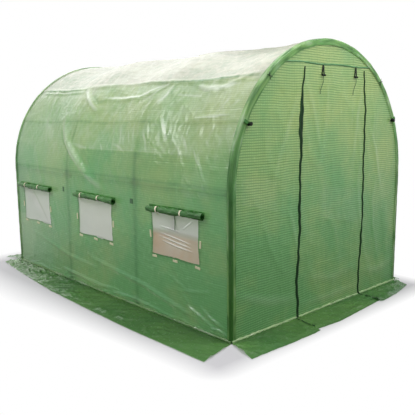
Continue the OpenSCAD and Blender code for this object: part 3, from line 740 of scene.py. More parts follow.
def roll_shape(sign, mid, seed, drawn):
    def shape(u, v):
        # u runs from the core out round the roll and up the tail, v along the roll
        y = (v - 0.5) * roll_length
        rear_end = ramp(y, drawn_from, roll_length / 2)
        y = y - drawn * rear_end ** 2
        coil = np.clip(u / coil_share, 0, 1)
        turn = 2 * math.pi * roll_turns * coil
        pinch = np.zeros(v.shape)
        for place in tie_places:
            pinch += np.exp(-((y - place) / 0.03) ** 2)
        swell = 1 - 0.16 * pinch + 0.26 * soft_noise(y, turn, 0.12, 0.7, seed)
        crush = crease_noise(y + 0.02 * turn, turn, 0.09, 0.45, seed + 2)
        swell += 0.22 * crush + 0.10 * soft_noise(y, turn, 0.035, 0.3, seed + 6)
        swell *= 1 - 0.25 * rear_end
        radius = (roll_core + (roll_out - roll_core) * coil) * swell
        tail = ramp(u, coil_share, 1)
        out = (roll_out + radius * np.cos(math.pi - turn)) * (1 - tail) + 0.0015
        up = radius * np.sin(math.pi - turn) * (1 - tail) + flap_tail * tail
        sway = 0.004 * np.sin(4 * y + seed)
        x = sign * (sheet_r + 0.004 + out)
        place = np.column_stack([x, mid + y, roll_mid_z + up + sway])
        # Painted light and shade: pale along the creases of the roll, dark patches, and paler towards its rear end
        marks = 0.22 * crush - 1.4 * np.clip(soft_noise(y, turn, 0.06, 0.35, seed + 9), 0, 0.5)
        marks += 0.22 * rear_end * (0.6 + soft_noise(y, turn, 0.05, 0.5, seed + 13))
        return place, np.column_stack([y + mid, coil * 0.4]), np.zeros(u.shape), marks
    return shape


for side, sign in sides:
    for number, mid in enumerate(window_mids):
        drawn = 0.0 if mid > 0.6 else drawn_in
        roll = woven_sheet(f"{side}_flap_roll_{number + 1}", flap_film, 110, 90,
                           roll_shape(sign, mid, 1.7 * number + sign, drawn))
        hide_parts(side + "_window_flaps")


# Flap ties
# Cream woven tape, two round each rolled flap: sewn to the wall above it,
# brought round slantwise and knotted under it with a short tail.
tie_half = 0.007
tie_thick = 0.0012
tie_lean = -0.022
tie_start = math.radians(165)
tie_wrap = math.radians(215)


def ribbed_weave(name, place_of, scale, distortion, direction, dark, light, rough, depth=0.0, shine=None):
    # Tape, webbing or cord: fine ribs in two tones, raised where a depth is given
    made, tree, shader = blank_material(name)
    sockets = {"Vector": place_of(tree), "Scale": scale, "Distortion": distortion}
    ribs = shader_node(tree, "TexWave", sockets, bands_direction=direction).outputs["Fac"]
    tree.links.new(blend_colours(tree, ribs, dark, light), shader.inputs["Base Color"])
    shader.inputs["Roughness"].default_value = rough
    if shine:
        shader.inputs["IOR"].default_value = shine
    if depth:
        set_relief(tree, shader, ribs, 0.4, depth)
    return made


tape = ribbed_weave("tie_tape", cloth_measure, 220.0, 0.6, "Y", (0.62, 0.60, 0.40, 1), (0.78, 0.76, 0.58, 1), 0.7,
                    depth=0.0006)


def tie_shape(sign, mid, lean, tail_length):
    def shape(u, v):
        # v runs from the wall above the roll, round its outside, then down the tail
        round_share = 0.72
        turn = np.clip(v / round_share, 0, 1) * tie_wrap + tie_start
        radius = roll_out * 0.93 + 0.0035
        out = roll_out + radius * np.cos(turn)
        up = -radius * np.sin(turn)
        down = np.clip((v - round_share) / (1 - round_share), 0, 1)
        out = np.where(down > 0, np.maximum(out, 0.002) * (1 - 0.6 * down) + 0.003, np.maximum(out, 0.0005))
        up = up - tail_length * down
        across = (u - 0.5) * 2 * tie_half * (1 - 0.25 * down)
        shift = lean * (np.clip(v / round_share, 0, 1) - 0.5) + 0.006 * down * math.sin(40 * mid)
        x = sign * (sheet_r + 0.006 + out)
        place = np.column_stack([x, mid + shift + across, roll_mid_z + up])
        return place, np.column_stack([u * 2 * tie_half, v * 0.2]), np.zeros(u.shape)
    return shape


for side, sign in sides:
    for number, mid in enumerate(window_mids):
        for end, place, tail_length in (("rear", tie_places[0], 0.032), ("front", tie_places[1], 0.012)):
            tie = woven_sheet(f"{side}_flap_tie_{number + 1}_{end}", tape, 6, 48,
                              tie_shape(sign, mid + place, tie_lean, tail_length))
            solid = tie.modifiers.new("tape", "SOLIDIFY")
            solid.thickness = tie_thick
            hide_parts(side + "_flap_ties")


# Fastening tabs round the windows
# Cream hook tape in short lengths, sewn under the sill and beside each
# opening, which hold the flap down when it is unrolled.
tab_sites = ((-0.235, 0.437, 0), (0.0, 0.440, 0), (0.225, 0.441, 0), (-0.268, 0.60, 1), (0.268, 0.60, 1))
tab_length = 0.052
tab_width = 0.017
sewn_thick = 0.003
sewn_proud = 0.002
sewn_edge = 0.0012


def sewn_block(bm, sign, y, z, wide, tall, tilt=0.0):
    # A small flat piece, sewn on where the sheet of the wall lies
    made = bmesh.ops.create_cube(bm, size=1)["verts"]
    bmesh.ops.scale(bm, vec=(sewn_thick, wide, tall), verts=made)
    bmesh.ops.rotate(bm, cent=(0, 0, 0), matrix=Matrix.Rotation(tilt, 3, "X"), verts=made)
    out = float(cover_slack(np.array([y]), np.array([arch_measure(sign, z)]))[0])
    bmesh.ops.translate(bm, vec=(sign * (sheet_r + out + sewn_proud), y, z), verts=made)


def soften_edges(bm):
    bmesh.ops.bevel(bm, geom=bm.edges[:], offset=sewn_edge, segments=2, profile=0.5, affect="EDGES", material=-1)


for side, sign in sides:
    bm = bmesh.new()
    for mid in window_mids:
        for shift, z, upright in tab_sites:
            wide, tall = (tab_width, tab_length) if upright else (tab_length, tab_width)
            sewn_block(bm, sign, mid + shift, z, wide, tall, 0.12 * math.sin(30 * (mid + shift)))
    soften_edges(bm)
    bm.loops.layers.uv.new("cloth")
    tabs = finish_piece(bm, side + "_window_tabs", tape, smooth=False)


# Window tapes
# Dark green tape sewn inside the head of the front window on each side, which
# hangs down over the net and ties the flap when it is rolled inwards.
tape_drop = 0.13
tape_wide = 0.011
tape_thick = 0.0010
window_tape = ribbed_weave("window_tape", cloth_measure, 220.0, 0.6, "Y", (0.11, 0.16, 0.10, 1),
                           (0.16, 0.22, 0.14, 1), 0.75, depth=0.0005)


def tape_shape(sign):
    def shape(u, v):
        z = window_head - tape_drop * v
        y = window_mids[2] + (u - 0.5) * tape_wide - 0.008 * v
        x = sign * (sheet_r + 0.0012 - 0.004 * np.sin(np.pi * v) + 0.0006 * np.sin(9 * v))
        return np.column_stack([x, y, z]), np.column_stack([y, z]), np.zeros(u.shape)
    return shape


for side, sign in sides:
    hung = woven_sheet(side + "_window_tape", window_tape, 3, 24, tape_shape(sign))
    solid = hung.modifiers.new("tape", "SOLIDIFY")
    solid.thickness = tape_thick


# Tie patches on the walls
# Dark green squares of doubled sheet sewn on at the two middle hoops, where
# a tape inside ties the wall to the leg.
patch_sites = ((0.567, 0.81, 0.024, 0.044), (-0.456, 0.81, 0.038, 0.036))
patch_film = ribbed_weave("patch_film", object_place, 160.0, 0.5, "Z", (0.018, 0.075, 0.022, 1),
                          (0.03, 0.11, 0.035, 1), 0.45)

for side, sign in sides:
    bm = bmesh.new()
    for y, z, wide, tall in patch_sites:
        sewn_block(bm, sign, y, z, wide, tall)
    soften_edges(bm)
    patches = finish_piece(bm, side + "_wall_patches", patch_film, smooth=False)


# Front and rear panels
# The same woven sheet closes both ends. The front is sewn from a gable over a
# cross seam, a panel each side and the door between two zips.
front_y = -1.4985
rear_y = 1.4985
seam_z = 1.78
panel_r = 0.9975
gable_top = 1.944
panel_seed = 12.5
left_zip_line = ((0.0, -0.339), (0.34, -0.352), (0.61, -0.327), (0.71, -0.328), (0.99, -0.329), (1.15, -0.322),
                 (1.31, -0.329), (1.49, -0.327), (1.60, -0.318), (1.72, -0.304), (1.79, -0.298))
right_zip_line = ((0.0, 0.446), (0.09, 0.434), (0.33, 0.450), (0.61, 0.463), (0.85, 0.458), (1.08, 0.455),
                  (1.45, 0.459), (1.60, 0.445), (1.73, 0.427), (1.79, 0.421))
front_folds = (
    (0.008, 0.030, ((-0.95, 0.30), (-0.65, 0.20), (-0.36, 0.15))),
    (0.007, 0.022, ((-0.33, 0.10), (0.0, 0.085), (0.44, 0.10))),
    (0.006, 0.030, ((-0.30, 0.30), (0.05, 0.22), (0.42, 0.26))),
    (0.006, 0.022, ((-0.36, 1.60), (-0.50, 1.30), (-0.62, 1.00))),
    (0.006, 0.020, ((-0.30, 1.70), (-0.18, 1.45), (-0.10, 1.15))),
    (0.006, 0.020, ((0.42, 1.68), (0.34, 1.40), (0.30, 1.05))),
    (0.005, 0.018, ((0.48, 1.40), (0.62, 1.15), (0.70, 0.85))),
    (0.007, 0.028, ((0.47, 0.20), (0.70, 0.16), (0.96, 0.22))),
    (0.005, 0.018, ((-0.45, 0.80), (-0.36, 0.55), (-0.34, 0.36))),
)
rear_folds = (
    (0.007, 0.022, ((-0.7, 0.3), (0.0, 0.2), (0.7, 0.35))),
    (0.006, 0.020, ((-0.5, 1.5), (-0.25, 1.0), (-0.1, 0.6))),
    (0.006, 0.020, ((0.45, 1.55), (0.3, 1.1), (0.35, 0.7))),
)


def line_at(line, z):
    heights, places = zip(*line)
    return np.interp(z, heights, places)


def zip_at(line, z):
    # The zip's own line, with the small waver of a sewn tape
    return line_at(line, z) + 0.004 * np.sin(23 * z + 40 * line[0][1]) + 0.0025 * np.sin(61 * z)


def arch_edge(z):
    return np.where(z < wall_top, panel_r, np.sqrt(np.maximum(panel_r ** 2 - (z - wall_top) ** 2, 0)))


def left_arch(z):
    return -arch_edge(z)


def left_zip(z):
    return zip_at(left_zip_line, z)


def right_zip(z):
    return zip_at(right_zip_line, z)


def panel_slack(x, z, folds):
    # Offset of an end panel outwards, held at the arch
    rim = np.clip((panel_r - np.hypot(x, np.maximum(z - wall_top, 0))) / 0.25, 0, 1)
    slack = 0.006 * soft_noise(x, z, 0.30, 0.45, panel_seed)
    slack += 0.0045 * crease_noise(x + 0.25 * z, z, 0.22, 0.60, panel_seed + 4)
    slack += 0.0016 * crease_noise(x, z, 0.08, 0.20, panel_seed + 9)
    return rim * slack + fold_heights(x, z, folds)


def panel_shape(left, right, low, high, y, folds):
    facing = -1 if y < 0 else 1

    def shape(u, v):
        z = low + v * (high - low)
        x = left(z) + u * (right(z) - left(z))
        places = np.column_stack([x, y + facing * panel_slack(x, z, folds), z])
        # Painted highlights along the tops of the folds
        marks = 0.12 * np.clip(fold_heights(x, z, folds) / 0.006, 0, 1) ** 2
        return places, np.column_stack([x, z]), np.zeros(u.shape), marks
    return shape


panel_film = woven_film("panel_film", (0.328, 0.468, 0.145, 1), (0.107, 0.360, 0.115, 1), (0.74, 0.86, 0.45, 1),
                        (0.035, 0.14, 0.035, 1), 0.06, 0.62, climb=0.25)
panels = (
    ("front_gable", left_arch, arch_edge, seam_z, gable_top, front_y, 90, 16, (1.1, 0.164), 0.12),
    ("front_left_panel", left_arch, left_zip, base_turn, seam_z, front_y, 58, 150, (0.68, 1.75), 1.05),
    ("door_panel", left_zip, right_zip, base_turn, seam_z, front_y, 66, 150, (0.79, 1.75), None),
    ("front_right_panel", right_zip, arch_edge, base_turn, seam_z, front_y, 48, 150, (0.56, 1.75), 0.83),
    ("rear_panel", left_arch, arch_edge, base_turn, gable_top, rear_y, 166, 160, (2.0, 1.91), 3.38),
)
for name, left, right, low, high, y, columns, rows, flat, area in panels:
    folds = front_folds if y < 0 else rear_folds
    panel = woven_sheet(name + "_sheet", panel_film, columns, rows, panel_shape(left, right, low, high, y, folds))
    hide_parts(name)


# Hem sleeves round the end arches
# A doubled band of the sheet, sewn round the edge of each end so that it
# wraps the hoop: it lies on the end panel and turns over onto the roof.
hem_wide = 0.031
hem_over = 0.022
hem_turn = 0.02
ends = (("front", -1), ("rear", 1))
hem_film = woven_film("hem_film", (0.29, 0.48, 0.17, 1), (0.14, 0.37, 0.12, 1), (0.62, 0.80, 0.40, 1),
                      (0.018, 0.140, 0.010, 1), 0.06, 0.2, haze=0.15, shine=1.42)


def hem_shape(facing):
    def shape(u, v):
        # u runs round the arch, v across the band from the end panel over onto the roof
        s = base_turn + u * (arch_end - 2 * base_turn)
        run = v * (hem_wide + hem_over + hem_turn)
        ripple = 0.0015 * soft_noise(s, run, 0.05, 0.03, 4.4) + 0.0012 * soft_noise(s, run, 0.18, 0.2, 8.1)
        turn = ramp(run, hem_wide, hem_wide + hem_turn) * math.pi / 2
        over = np.maximum(run - hem_wide - hem_turn, 0)
        inset = hem_wide - np.minimum(run, hem_wide) - 0.004 + 0.010 * (1 - np.sin(turn)) - 0.004 * np.sin(turn)
        inset += 0.004 * soft_noise(s, s, 0.12, 0.3, 6.6) * (v < 0.2)
        depth = 0.0045 + ripple - 0.014 * (1 - np.cos(turn)) - over
        rise = ripple * np.sin(turn) - inset
        base = arch_place(np.zeros(s.shape), s, rise)
        low = (s < wall_top) | (s > arch_far)
        base[:, 0] = np.where(low, np.sign(base[:, 0]) * (sheet_r + rise), base[:, 0])
        base[:, 1] = facing * (end_y - 0.0005 + depth)
        high = np.minimum(s, arch_end - s)
        stitched = 0.8 * np.clip(1 - np.abs(run - 0.005) / 0.005, 0, 1)
        stitched = stitched * (0.75 + 0.5 * soft_noise(s, s, 0.07, 1.0, 2.9))
        # A painted dark line where the band turns over the corner, fading higher up, and a painted dark band over
        # the turn low on the legs; both go into the doubled edge mark with the stitching
        corner = np.clip(1 - np.abs(run - hem_wide - 0.004) / 0.007, 0, 1)
        corner = corner * np.interp(high, (0.9, 1.5, 1.9), (1.0, 0.7, 0.25))
        leg = ramp(run, hem_wide - 0.009, hem_wide - 0.003) * ramp(run, hem_wide + 0.030, hem_wide + 0.024)
        leg = leg * np.interp(high, (0.90, 1.02, 1.30), (1.2, 0.8, 0.0))
        # Painted light and shade in patches along the band, mostly dark, and none over the painted band on the legs
        patch = soft_noise(s, run, 0.10, 0.022, 31.7)
        marks = 0.9 * np.clip(-patch - 0.15, 0, 0.4) - 2.2 * np.clip(patch - 0.02, 0, 0.5)
        marks = marks * (1 - np.clip(leg, 0, 1))
        doubled = np.clip(np.maximum(np.maximum(stitched, corner), leg), 0, 1.3)
        return base, np.column_stack([s, run]), doubled, marks
    return shape


for end, facing in ends:
    hem = woven_sheet(end + "_hem_sleeve", hem_film, 420, 22, hem_shape(facing))
    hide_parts(end + "_hem")


# Cross seam over the door
# A felled seam where the gable is sewn to the panels: a narrow doubled ridge
# that waves a little with the pull of the sheet.
seam_half = 0.006
seam_film = ribbed_weave("seam_film", object_place, 60.0, 0.0, "X", (0.03, 0.12, 0.035, 1),
                         (0.07, 0.22, 0.065, 1), 0.45)


def seam_shape(u, v):
    edge = math.sqrt(panel_r ** 2 - (seam_z - wall_top) ** 2) - 0.01
    x = (u - 0.5) * 2 * edge
    z = seam_z + (v - 0.5) * 2 * seam_half + 0.003 * np.sin(14 * x) + 0.002 * soft_noise(x, x, 0.06, 1.0, 3.1)
    y = front_y - 0.0015 - 0.003 * np.sin(np.pi * v)
    return np.column_stack([x, y, z]), np.column_stack([x, z]), np.zeros(u.shape)


seam = woven_sheet("front_cross_seam_ridge", seam_film, 160, 6, seam_shape)
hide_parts("front_cross_seam")


# Door zips
# Two coil zips on dark green tape, one down each side of the door, sewn
# between the panels. The left one gapes a little below its top.
zip_top = 1.755
left_widths = ((0.0, 0.015), (0.3, 0.015), (0.7, 0.013), (1.0, 0.013), (1.20, 0.014), (1.33, 0.023), (1.48, 0.021),
               (1.62, 0.009), (1.76, 0.006))
right_widths = ((0.0, 0.013), (0.6, 0.011), (1.2, 0.010), (1.6, 0.009), (1.76, 0.006))
zip_foot = 0.012
tooth_pitch = 0.006
tooth_proud = 0.0060
tooth_size = (0.0055, 0.003, 0.0034)
zip_tape = ribbed_weave("zip_tape", cloth_measure, 180.0, 0.4, "Y", (0.004, 0.022, 0.005, 1),
                        (0.010, 0.042, 0.011, 1), 0.75, depth=0.0006, shine=1.3)

coil, tree, shader = blank_material("zip_coil")
speck = mottle(tree, object_place(tree), 300.0, 3.0)
tree.links.new(blend_colours(tree, speck, (0.004, 0.016, 0.005, 1), (0.010, 0.034, 0.012, 1)),
               shader.inputs["Base Color"])
shader.inputs["Roughness"].default_value = 0.55
shader.inputs["IOR"].default_value = 1.3


def zip_shape(line, widths):
    def shape(u, v):
        z = zip_foot + v * (zip_top - zip_foot)
        x = zip_at(line, z) + (u - 0.5) * 2 * line_at(widths, z)
        y = front_y - panel_slack(x, z, front_folds) - 0.0015 - 0.0035 * np.sin(np.pi * u) ** 0.5
        return np.column_stack([x, y, z]), np.column_stack([x, z]), np.zeros(u.shape)
    return shape


for name, line, widths in (("left", left_zip_line, left_widths), ("right", right_zip_line, right_widths)):
    band = woven_sheet(name + "_door_zip_tape", zip_tape, 8, 240, zip_shape(line, widths))
    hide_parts("door_zips")
    bm = bmesh.new()
    for z in np.arange(0.05, zip_top - 0.01, tooth_pitch):
        made = bmesh.ops.create_cube(bm, size=1)["verts"]
        bmesh.ops.scale(bm, vec=tooth_size, verts=made)
        x = float(zip_at(line, z))
        out = float(panel_slack(np.array([x]), np.array([z]), front_folds)[0])
        bmesh.ops.translate(bm, vec=(x, front_y - out - tooth_proud, z), verts=made)
    teeth = finish_piece(bm, name + "_door_zip_teeth", coil, smooth=False)


# Door straps
# Black webbing, two short lengths sewn in under the cross seam, each folded
# round a small moulded toggle that holds the rolled door.
webbing = ribbed_weave("strap_webbing", object_place, 240.0, 0.4, "Z", (0.003, 0.006, 0.003, 1),
                       (0.010, 0.018, 0.011, 1), 0.8, depth=0.0005, shine=1.3)
set_slots(("door_straps",), webbing)


# Hem ties
# Thin black cord crossed over the hem about halfway up the arch, two turns
# knotted in the middle, one on each side of each end.
hem_tie_r = 0.0016
hem_tie_angle = math.radians(48)
hem_tie_half = 0.026
hem_tie_leans = (0.25, 1.35)
hem_tie_in = 0.016
hem_tie_out = 0.006
knot_r = 0.0042
tie_cord = ribbed_weave("hem_tie_cord", object_place, 200.0, 1.0, "DIAGONAL", (0.004, 0.008, 0.004, 1),
                        (0.014, 0.026, 0.015, 1), 0.8)

for end, facing in ends:
    bm = bmesh.new()
    for _, side in sides:
        reach = sheet_r - hem_tie_in
        spot = (side * math.cos(hem_tie_angle) * reach, facing * (end_y + hem_tie_out),
                wall_top + math.sin(hem_tie_angle) * reach)
        for lean in hem_tie_leans:
            made = bmesh.ops.create_cone(bm, cap_ends=True, segments=8, radius1=hem_tie_r, radius2=hem_tie_r,
                                         depth=2 * hem_tie_half)["verts"]
            bmesh.ops.rotate(bm, cent=(0, 0, 0), matrix=Matrix.Rotation(side * lean, 3, "Y"), verts=made)
            bmesh.ops.translate(bm, vec=spot, verts=made)
        knot = bmesh.ops.create_icosphere(bm, subdivisions=2, radius=knot_r)["verts"]
        bmesh.ops.scale(bm, vec=(1.2, 0.7, 0.9), verts=knot)
        bmesh.ops.translate(bm, vec=spot, verts=knot)
    ties = finish_piece(bm, end + "_hem_ties", tie_cord)


# Door cords
# Thin braided cord, one from each door toggle, hanging loose against the
# front: it ties the rolled door up when the door is open.
cord_thick = 0.004
cord_route = (
    (0, 0, -2.5), (0, 0, -7), (0, 0, -13), (-1, -1, -22), (-3, -2, -32), (-6, -2, -42), (-10, -1, -52),
    (-14, 0, -61), (-18, 1, -70), (-21, 2, -79), (-24, 3, -88), (-26, 4, -97), (-28, 4, -106), (-29, 4, -115),
    (-30, 4, -124),
)
cord_tops = {"first_door_cord": (-0.093, -1.5073, 1.6987), "second_door_cord": (0.310, -1.5073, 1.6987)}
braid = ribbed_weave("braided_cord", object_place, 120.0, 1.0, "DIAGONAL", (0.012, 0.05, 0.016, 1),
                     (0.035, 0.11, 0.04, 1), 0.75)

for name, top in cord_tops.items():
    line = bpy.data.curves.new(name + "_braid", "CURVE")
    line.dimensions = "3D"
    line.bevel_depth = cord_thick / 2
    line.bevel_resolution = 4
    line.use_fill_caps = True
    route = [Vector(top) + Vector(step) / 1000 for step in cord_route]
    spline = line.splines.new("POLY")
    spline.points.add(len(route) - 1)
    for point, place in zip(spline.points, route):
        point.co = (*place, 1)
    line.materials.append(braid)
    cord = bpy.data.objects.new(name + "_braid", line)
    bpy.context.collection.objects.link(cord)
    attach(cord, "root")
    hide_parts(name)


# Ground skirts
# The cover runs on past its foot and lies out on the ground, where it is
# weighted down: slit at the corners and at both zips, creased and glossy.
foot = 0.9985
turn_share = 0.12
turn_r = 0.016
ground_gap = 0.002
door_lap = 0.002
lapped_skirts = ("front_left_ground_skirt", "front_right_ground_skirt")
# The skirt that gets a painted pale line of light along its cut edge
lit_edge_skirt = "left_ground_skirt"
skirt_film = woven_film("skirt_film", (0.13, 0.30, 0.072, 1), (0.057, 0.195, 0.05, 1), (0.20, 0.42, 0.12, 1),
                        (0.05, 0.15, 0.045, 1), 0.03, 0.15, haze=0.15)


def skirt_shape(inner, outer, widths, seed, crumple, lap, lit_edge):
    # Inner edge up the foot of the wall, outer edge on the ground; widths vary the reach along it
    inner, outer = np.array(inner), np.array(outer)

    def shape(u, v):
        near = inner[0] + np.outer(u, inner[1] - inner[0])
        far = outer[0] + np.outer(u, outer[1] - outer[0])
        reach = np.interp(u, *zip(*widths))
        ragged = 1 + 0.012 * soft_noise(near[:, 0] + near[:, 1], u * 0, 0.30, 1.0, seed)
        out = ramp(v, turn_share, 1)
        bend = np.clip(v / turn_share, 0, 1) * math.pi / 2
        outward = (far - near) / np.linalg.norm(far - near, axis=1)[:, None]
        spot = near + (far - near) * (out * reach * ragged)[:, None]
        spot = spot + outward * (turn_r * (1 - np.cos(bend)) * np.clip(1 - out * 3, 0, 1))[:, None]
        x, y = spot.T
        rough = np.interp(u, *zip(*crumple))
        wave = 0.5 + 0.5 * soft_noise(x, y, 0.16, 0.16, seed)
        crease = crease_noise(x + y, x - y, 0.12, 0.30, seed + 3)
        fine = crease_noise(x, y, 0.05, 0.07, seed + 6)
        lift = rough * np.clip(out * 6, 0, 1) * np.clip((1 - out) * 5, 0.2, 1)
        lift = lift * (0.007 * wave + 0.011 * crease + 0.006 * fine)
        z = ground_gap + (base_turn - ground_gap) * (1 - np.sin(bend)) + lift + lap
        edge = 0.5 * np.clip(1.3 - np.abs(1 - v) * 22, 0, 1)
        # Painted light and shade where the skirt is crumpled: pale glints along its creases, darker in between
        loose = np.clip(rough - 1.1, 0, 1.2)
        marks = loose * (0.55 * crease + 0.45 * fine) - 0.25 * loose * wave
        if lit_edge:
            # A painted pale line of light along the cut edge, and darker towards the front end
            marks = marks + 0.8 * (v > 0.985) - 0.2 * ramp(u, 0.45, 0.75)
            edge = edge * 0
        return np.column_stack([spot, z]), spot, edge, marks
    return shape


skirts = (
    ("left_skirt", "left_ground_skirt", ((-foot, 1.5), (-foot, -1.5)), ((-1.3, 1.575), (-1.3, -1.575)),
     ((0, 0.54), (0.14, 0.72), (0.39, 0.98), (0.6, 1.05), (0.78, 1.08), (1, 1.03)), 3.3,
     ((0, 2.4), (0.25, 1.7), (0.5, 1.0), (1, 0.7)), 260, 34, (3.15, 0.34), 0.94),
    ("right_skirt", "right_ground_skirt", ((foot, -1.5), (foot, 1.5)), ((1.3, -1.575), (1.3, 1.575)),
     ((0, 0.25), (0.15, 0.35), (0.45, 0.9), (1, 0.95)), 5.2,
     ((0, 1.4), (0.4, 0.9), (1, 1.2)), 260, 34, (3.15, 0.34), 0.85),
    ("rear_skirt", "rear_ground_skirt", ((foot, 1.5), (-foot, 1.5)), ((1.075, 1.75), (-1.075, 1.75)),
     ((0, 1.0), (0.5, 0.95), (1, 0.9)), 8.8,
     ((0, 1.0), (1, 1.4)), 180, 28, (2.15, 0.29), 0.58),
    ("front_skirt", "front_left_ground_skirt", ((-foot, -1.5), (-0.343, -1.5)), ((-1.078, -1.75), (-0.405, -1.75)),
     ((0, 1.0), (0.5, 1.05), (0.9, 1.06), (1, 1.03)), 2.4,
     ((0, 1.0), (1, 0.8)), 70, 28, (0.72, 0.29), 0.19),
    ("front_skirt", "door_ground_skirt", ((-0.358, -1.5), (0.462, -1.5)), ((-0.42, -1.75), (0.445, -1.75)),
     ((0, 0.90), (0.1, 0.95), (0.3, 1.0), (1, 0.80)), 6.1,
     ((0, 0.8), (1, 0.8)), 80, 28, (0.84, 0.29), 0.22),
    ("front_skirt", "front_right_ground_skirt", ((0.447, -1.5), (foot, -1.5)), ((0.412, -1.75), (0.935, -1.75)),
     ((0, 0.86), (0.05, 0.92), (0.5, 0.84), (1, 0.60)), 9.7,
     ((0, 0.9), (1, 1.1)), 60, 28, (0.58, 0.29), 0.145),
)
skirt_lays = {}
for node, name, inner, outer, widths, seed, crumple, columns, rows, flat, area in skirts:
    lap = door_lap if name in lapped_skirts else 0.0
    skirt_lays[name] = skirt_shape(inner, outer, widths, seed, crumple, lap, name == lit_edge_skirt)
    skirt = woven_sheet(name, skirt_film, columns, rows, skirt_lays[name])
    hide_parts(node)


# Zip tails
# Both zips run on past the foot and lie out on the skirt, along the slits
# beside the door, where the tape ends are cut square.
tail_proud = 0.003
zip_tails = (
    ("right_door_zip_tail", "front_right_ground_skirt", 0.004, 0.022, 0.93),
    ("left_door_zip_tail", "front_left_ground_skirt", 0.982, 0.014, 0.80),
)


def tail_shape(skirt_lay, first, wide, length):
    def shape(u, v):
        lay, cloth, doubled, _ = skirt_lay(first + wide * u, 0.02 + length * v)
        lay[:, 2] += tail_proud
        return lay, cloth, doubled * 0
    return shape


for name, skirt_name, first, wide, length in zip_tails:
    tail = woven_sheet(name, zip_tape, 6, 60, tail_shape(skirt_lays[skirt_name], first, wide, length))


# Base welts
# The welded seam where each skirt leaves the foot of the sheet: a narrow ridge
# of melted weave that puckers with the sheet. Its colour is painted light: a pale
# lit copy along both ends, and a darker shaded copy with painted pale glints along
# the sides.
welt_r = 0.009
welt_z = 0.013
lit_welt_film = woven_film("lit_welt_film", (0.52, 0.66, 0.36, 1), (0.27, 0.46, 0.19, 1), (0.70, 0.86, 0.50, 1),
                       (0.10, 0.26, 0.09, 1), 0.02, 0.2)
shaded_welt_film = woven_film("shaded_welt_film", (0.25, 0.40, 0.15, 1), (0.10, 0.26, 0.08, 1), (0.50, 0.68, 0.34, 1),
                            (0.05, 0.16, 0.05, 1), 0.02, 0.2)


def welt_noise(run, size, seed):
    return soft_noise(run, run * 0, size, 1.0, seed)


def welt_shape(start, end, outward, seed):
    start, end, outward = (np.array(p) for p in (start, end, outward))

    def shape(u, v):
        run = np.linalg.norm(end - start) * u
        round_it = (v - 0.5) * math.pi
        radius = welt_r * (1 + 0.5 * welt_noise(run, 0.03, seed))
        spot = start + np.outer(u, end - start)
        out = radius * np.cos(round_it) * 1.3 + 0.002 * welt_noise(run, 0.11, seed + 5)
        z = welt_z + radius * np.sin(round_it) + 0.003 * welt_noise(run, 0.09, seed + 8)
        place = np.column_stack([spot + np.outer(out, outward), z])
        # Painted pale glints in patches, on the side welts only
        marks = 0.9 * np.clip(welt_noise(run, 0.22, seed + 3), 0, 0.6) * abs(outward[0])
        return place, np.column_stack([run, v * 0.02]), 0.6 * (np.abs(v - 0.5) > 0.4), marks
    return shape


welts = (
    ("left_base_welt", (-foot, 1.5), (-foot, -1.5), (-1, 0), 400),
    ("right_base_welt", (foot, -1.5), (foot, 1.5), (1, 0), 400),
    ("rear_base_welt", (foot, 1.5), (-foot, 1.5), (0, 1), 260),
    ("front_left_base_welt", (-foot, -1.5), (-0.345, -1.5), (0, -1), 90),
    ("door_base_welt", (-0.328, -1.5), (0.428, -1.5), (0, -1), 100),
    ("front_right_base_welt", (0.452, -1.5), (foot, -1.5), (0, -1), 80),
)
for number, (name, start, end, outward, columns) in enumerate(welts):
    film = shaded_welt_film if outward[0] else lit_welt_film
    welt = woven_sheet(name, film, columns, 8, welt_shape(start, end, outward, 1.9 * number))


# Floor and light
# A plain white floor that keeps the object's shadow, a white surround, and four
# broad lamps: one behind, one above, one to the left and one in front.
floor_reach = 60.0
shadow_shift = (0.14, 0.06, 0)
shadow_half = (1.14, 1.61, 0)
white = (1, 1, 1, 1)
floor_grey = (0.38, 0.372, 0.392, 1)
floor_dim = (0.16, 0.16, 0.155, 1)
floor_glow = 0.12
world_light = 0.31
bm = bmesh.new()
bmesh.ops.create_grid(bm, x_segments=2, y_segments=2, size=floor_reach)
mesh = bpy.data.meshes.new("floor")
bm.to_mesh(mesh)
bm.free()
floor = bpy.data.objects.new("floor", mesh)
bpy.context.collection.objects.link(floor)
paper, tree, shader = blank_material("floor_paper")
tree.nodes.remove(shader)
matt = shader_node(tree, "BsdfDiffuse", {"Color": floor_grey})
split = shader_node(tree, "SeparateXYZ", {"Vector": object_place(tree)})
# The floor is lifted by a glow only outside the footprint, so inside the tunnel it stays darker: painted shade
outside = []
for axis, half in (("X", 1.0), ("Y", end_y)):
    outside.append(reckon(tree, "GREATER_THAN", reckon(tree, "ABSOLUTE", split.outputs[axis]), half))
glow = reckon(tree, "MULTIPLY", reckon(tree, "MAXIMUM", *outside), floor_glow)
lift = shader_node(tree, "Emission", {"Color": white, "Strength": glow})
both = shader_node(tree, "AddShader", {0: matt.outputs["BSDF"], 1: lift.outputs["Emission"]})
dim = shader_node(tree, "BsdfDiffuse", {"Color": floor_dim})
path = shader_node(tree, "LightPath")
seen = path.outputs["Is Camera Ray"]
floor_look = shader_node(tree, "MixShader", {"Fac": seen, 1: dim.outputs["BSDF"], 2: both.outputs["Shader"]})
# Partly painted shadow: the fade to white follows the footprint, shifted aside and stretched towards the door, so
# the floor grows lighter away from the tunnel whatever the light; near the tunnel the shadow is rendered
aside = reckon_places(tree, "ADD", object_place(tree), shadow_shift)
aside = reckon_places(tree, "SUBTRACT", reckon_places(tree, "ABSOLUTE", aside), shadow_half)
aside = reckon_places(tree, "MULTIPLY", reckon_places(tree, "MAXIMUM", aside, (0, 0, 0)), (1.0, 1.1, 0))
toward_door = ranged(tree, split.outputs["Y"], over=(0.3, -1.7), gives=(1.0, 1.9))
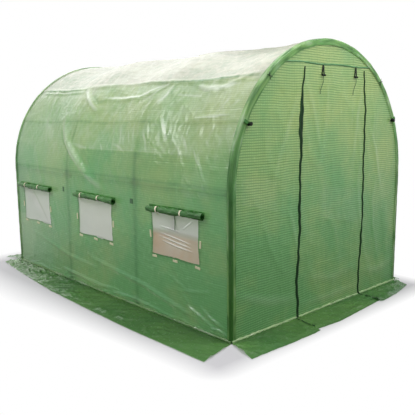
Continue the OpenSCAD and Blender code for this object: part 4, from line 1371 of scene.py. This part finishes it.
far_off = reckon(tree, "MULTIPLY", reckon_places(tree, "LENGTH", aside), toward_door)
fade = reckon(tree, "MULTIPLY", ranged(tree, far_off, over=(0.02, 0.38)), seen)
beside = reckon_places(tree, "LENGTH", reckon_places(tree, "ADD", object_place(tree), (-0.6, 0.6, 0)))
mirrored = reckon(tree, "MAXIMUM", path.outputs["Is Glossy Ray"], path.outputs["Is Transmission Ray"])
fade = reckon(tree, "MULTIPLY_ADD", ranged(tree, beside, over=(2.5, 4.0)), mirrored, fade)
plain = shader_node(tree, "Emission", {"Color": white, "Strength": 1.0})
whole = shader_node(tree, "MixShader", {"Fac": fade, 1: floor_look.outputs["Shader"], 2: plain.outputs["Emission"]})
tree.links.new(whole.outputs["Shader"], tree.nodes["Material Output"].inputs["Surface"])
mesh.materials.append(paper)

world = bpy.data.worlds.new("surround")
bpy.context.scene.world = world
world.use_nodes = True
tree = world.node_tree
path = shader_node(tree, "LightPath")
plain = reckon(tree, "MAXIMUM", path.outputs["Is Camera Ray"], path.outputs["Is Glossy Ray"])
plain = reckon(tree, "MAXIMUM", plain, path.outputs["Is Transmission Ray"])
ground = tree.nodes["Background"]
ground.inputs["Color"].default_value = white
tree.links.new(ranged(tree, plain, gives=(world_light, 1.0)), ground.inputs["Strength"])

lamps = (
    ("back_lamp", (1.5, 4.7, 5.0), (-0.4, 0, 1.7), 5.5, 250.0),
    ("top_lamp", (-0.6, -0.6, 4.6), (-0.2, -0.2, 1.2), 3.0, 25.0),
    ("left_lamp", (-3.4, 0.6, 3.7), (-0.8, 0.5, 1.3), 2.4, 135.0),
    ("front_lamp", (0.5, -3.4, 3.9), (0.2, -1.2, 1.5), 2.4, 165.0),
)
for name, place, target, size, power in lamps:
    light = bpy.data.lights.new(name, "AREA")
    light.size = size
    light.energy = power
    lamp = bpy.data.objects.new(name, light)
    lamp.location = place
    lamp.rotation_euler = (Vector(target) - Vector(place)).to_track_quat("-Z", "Y").to_euler()
    bpy.context.collection.objects.link(lamp)

bpy.context.scene.view_settings.view_transform = "Standard"
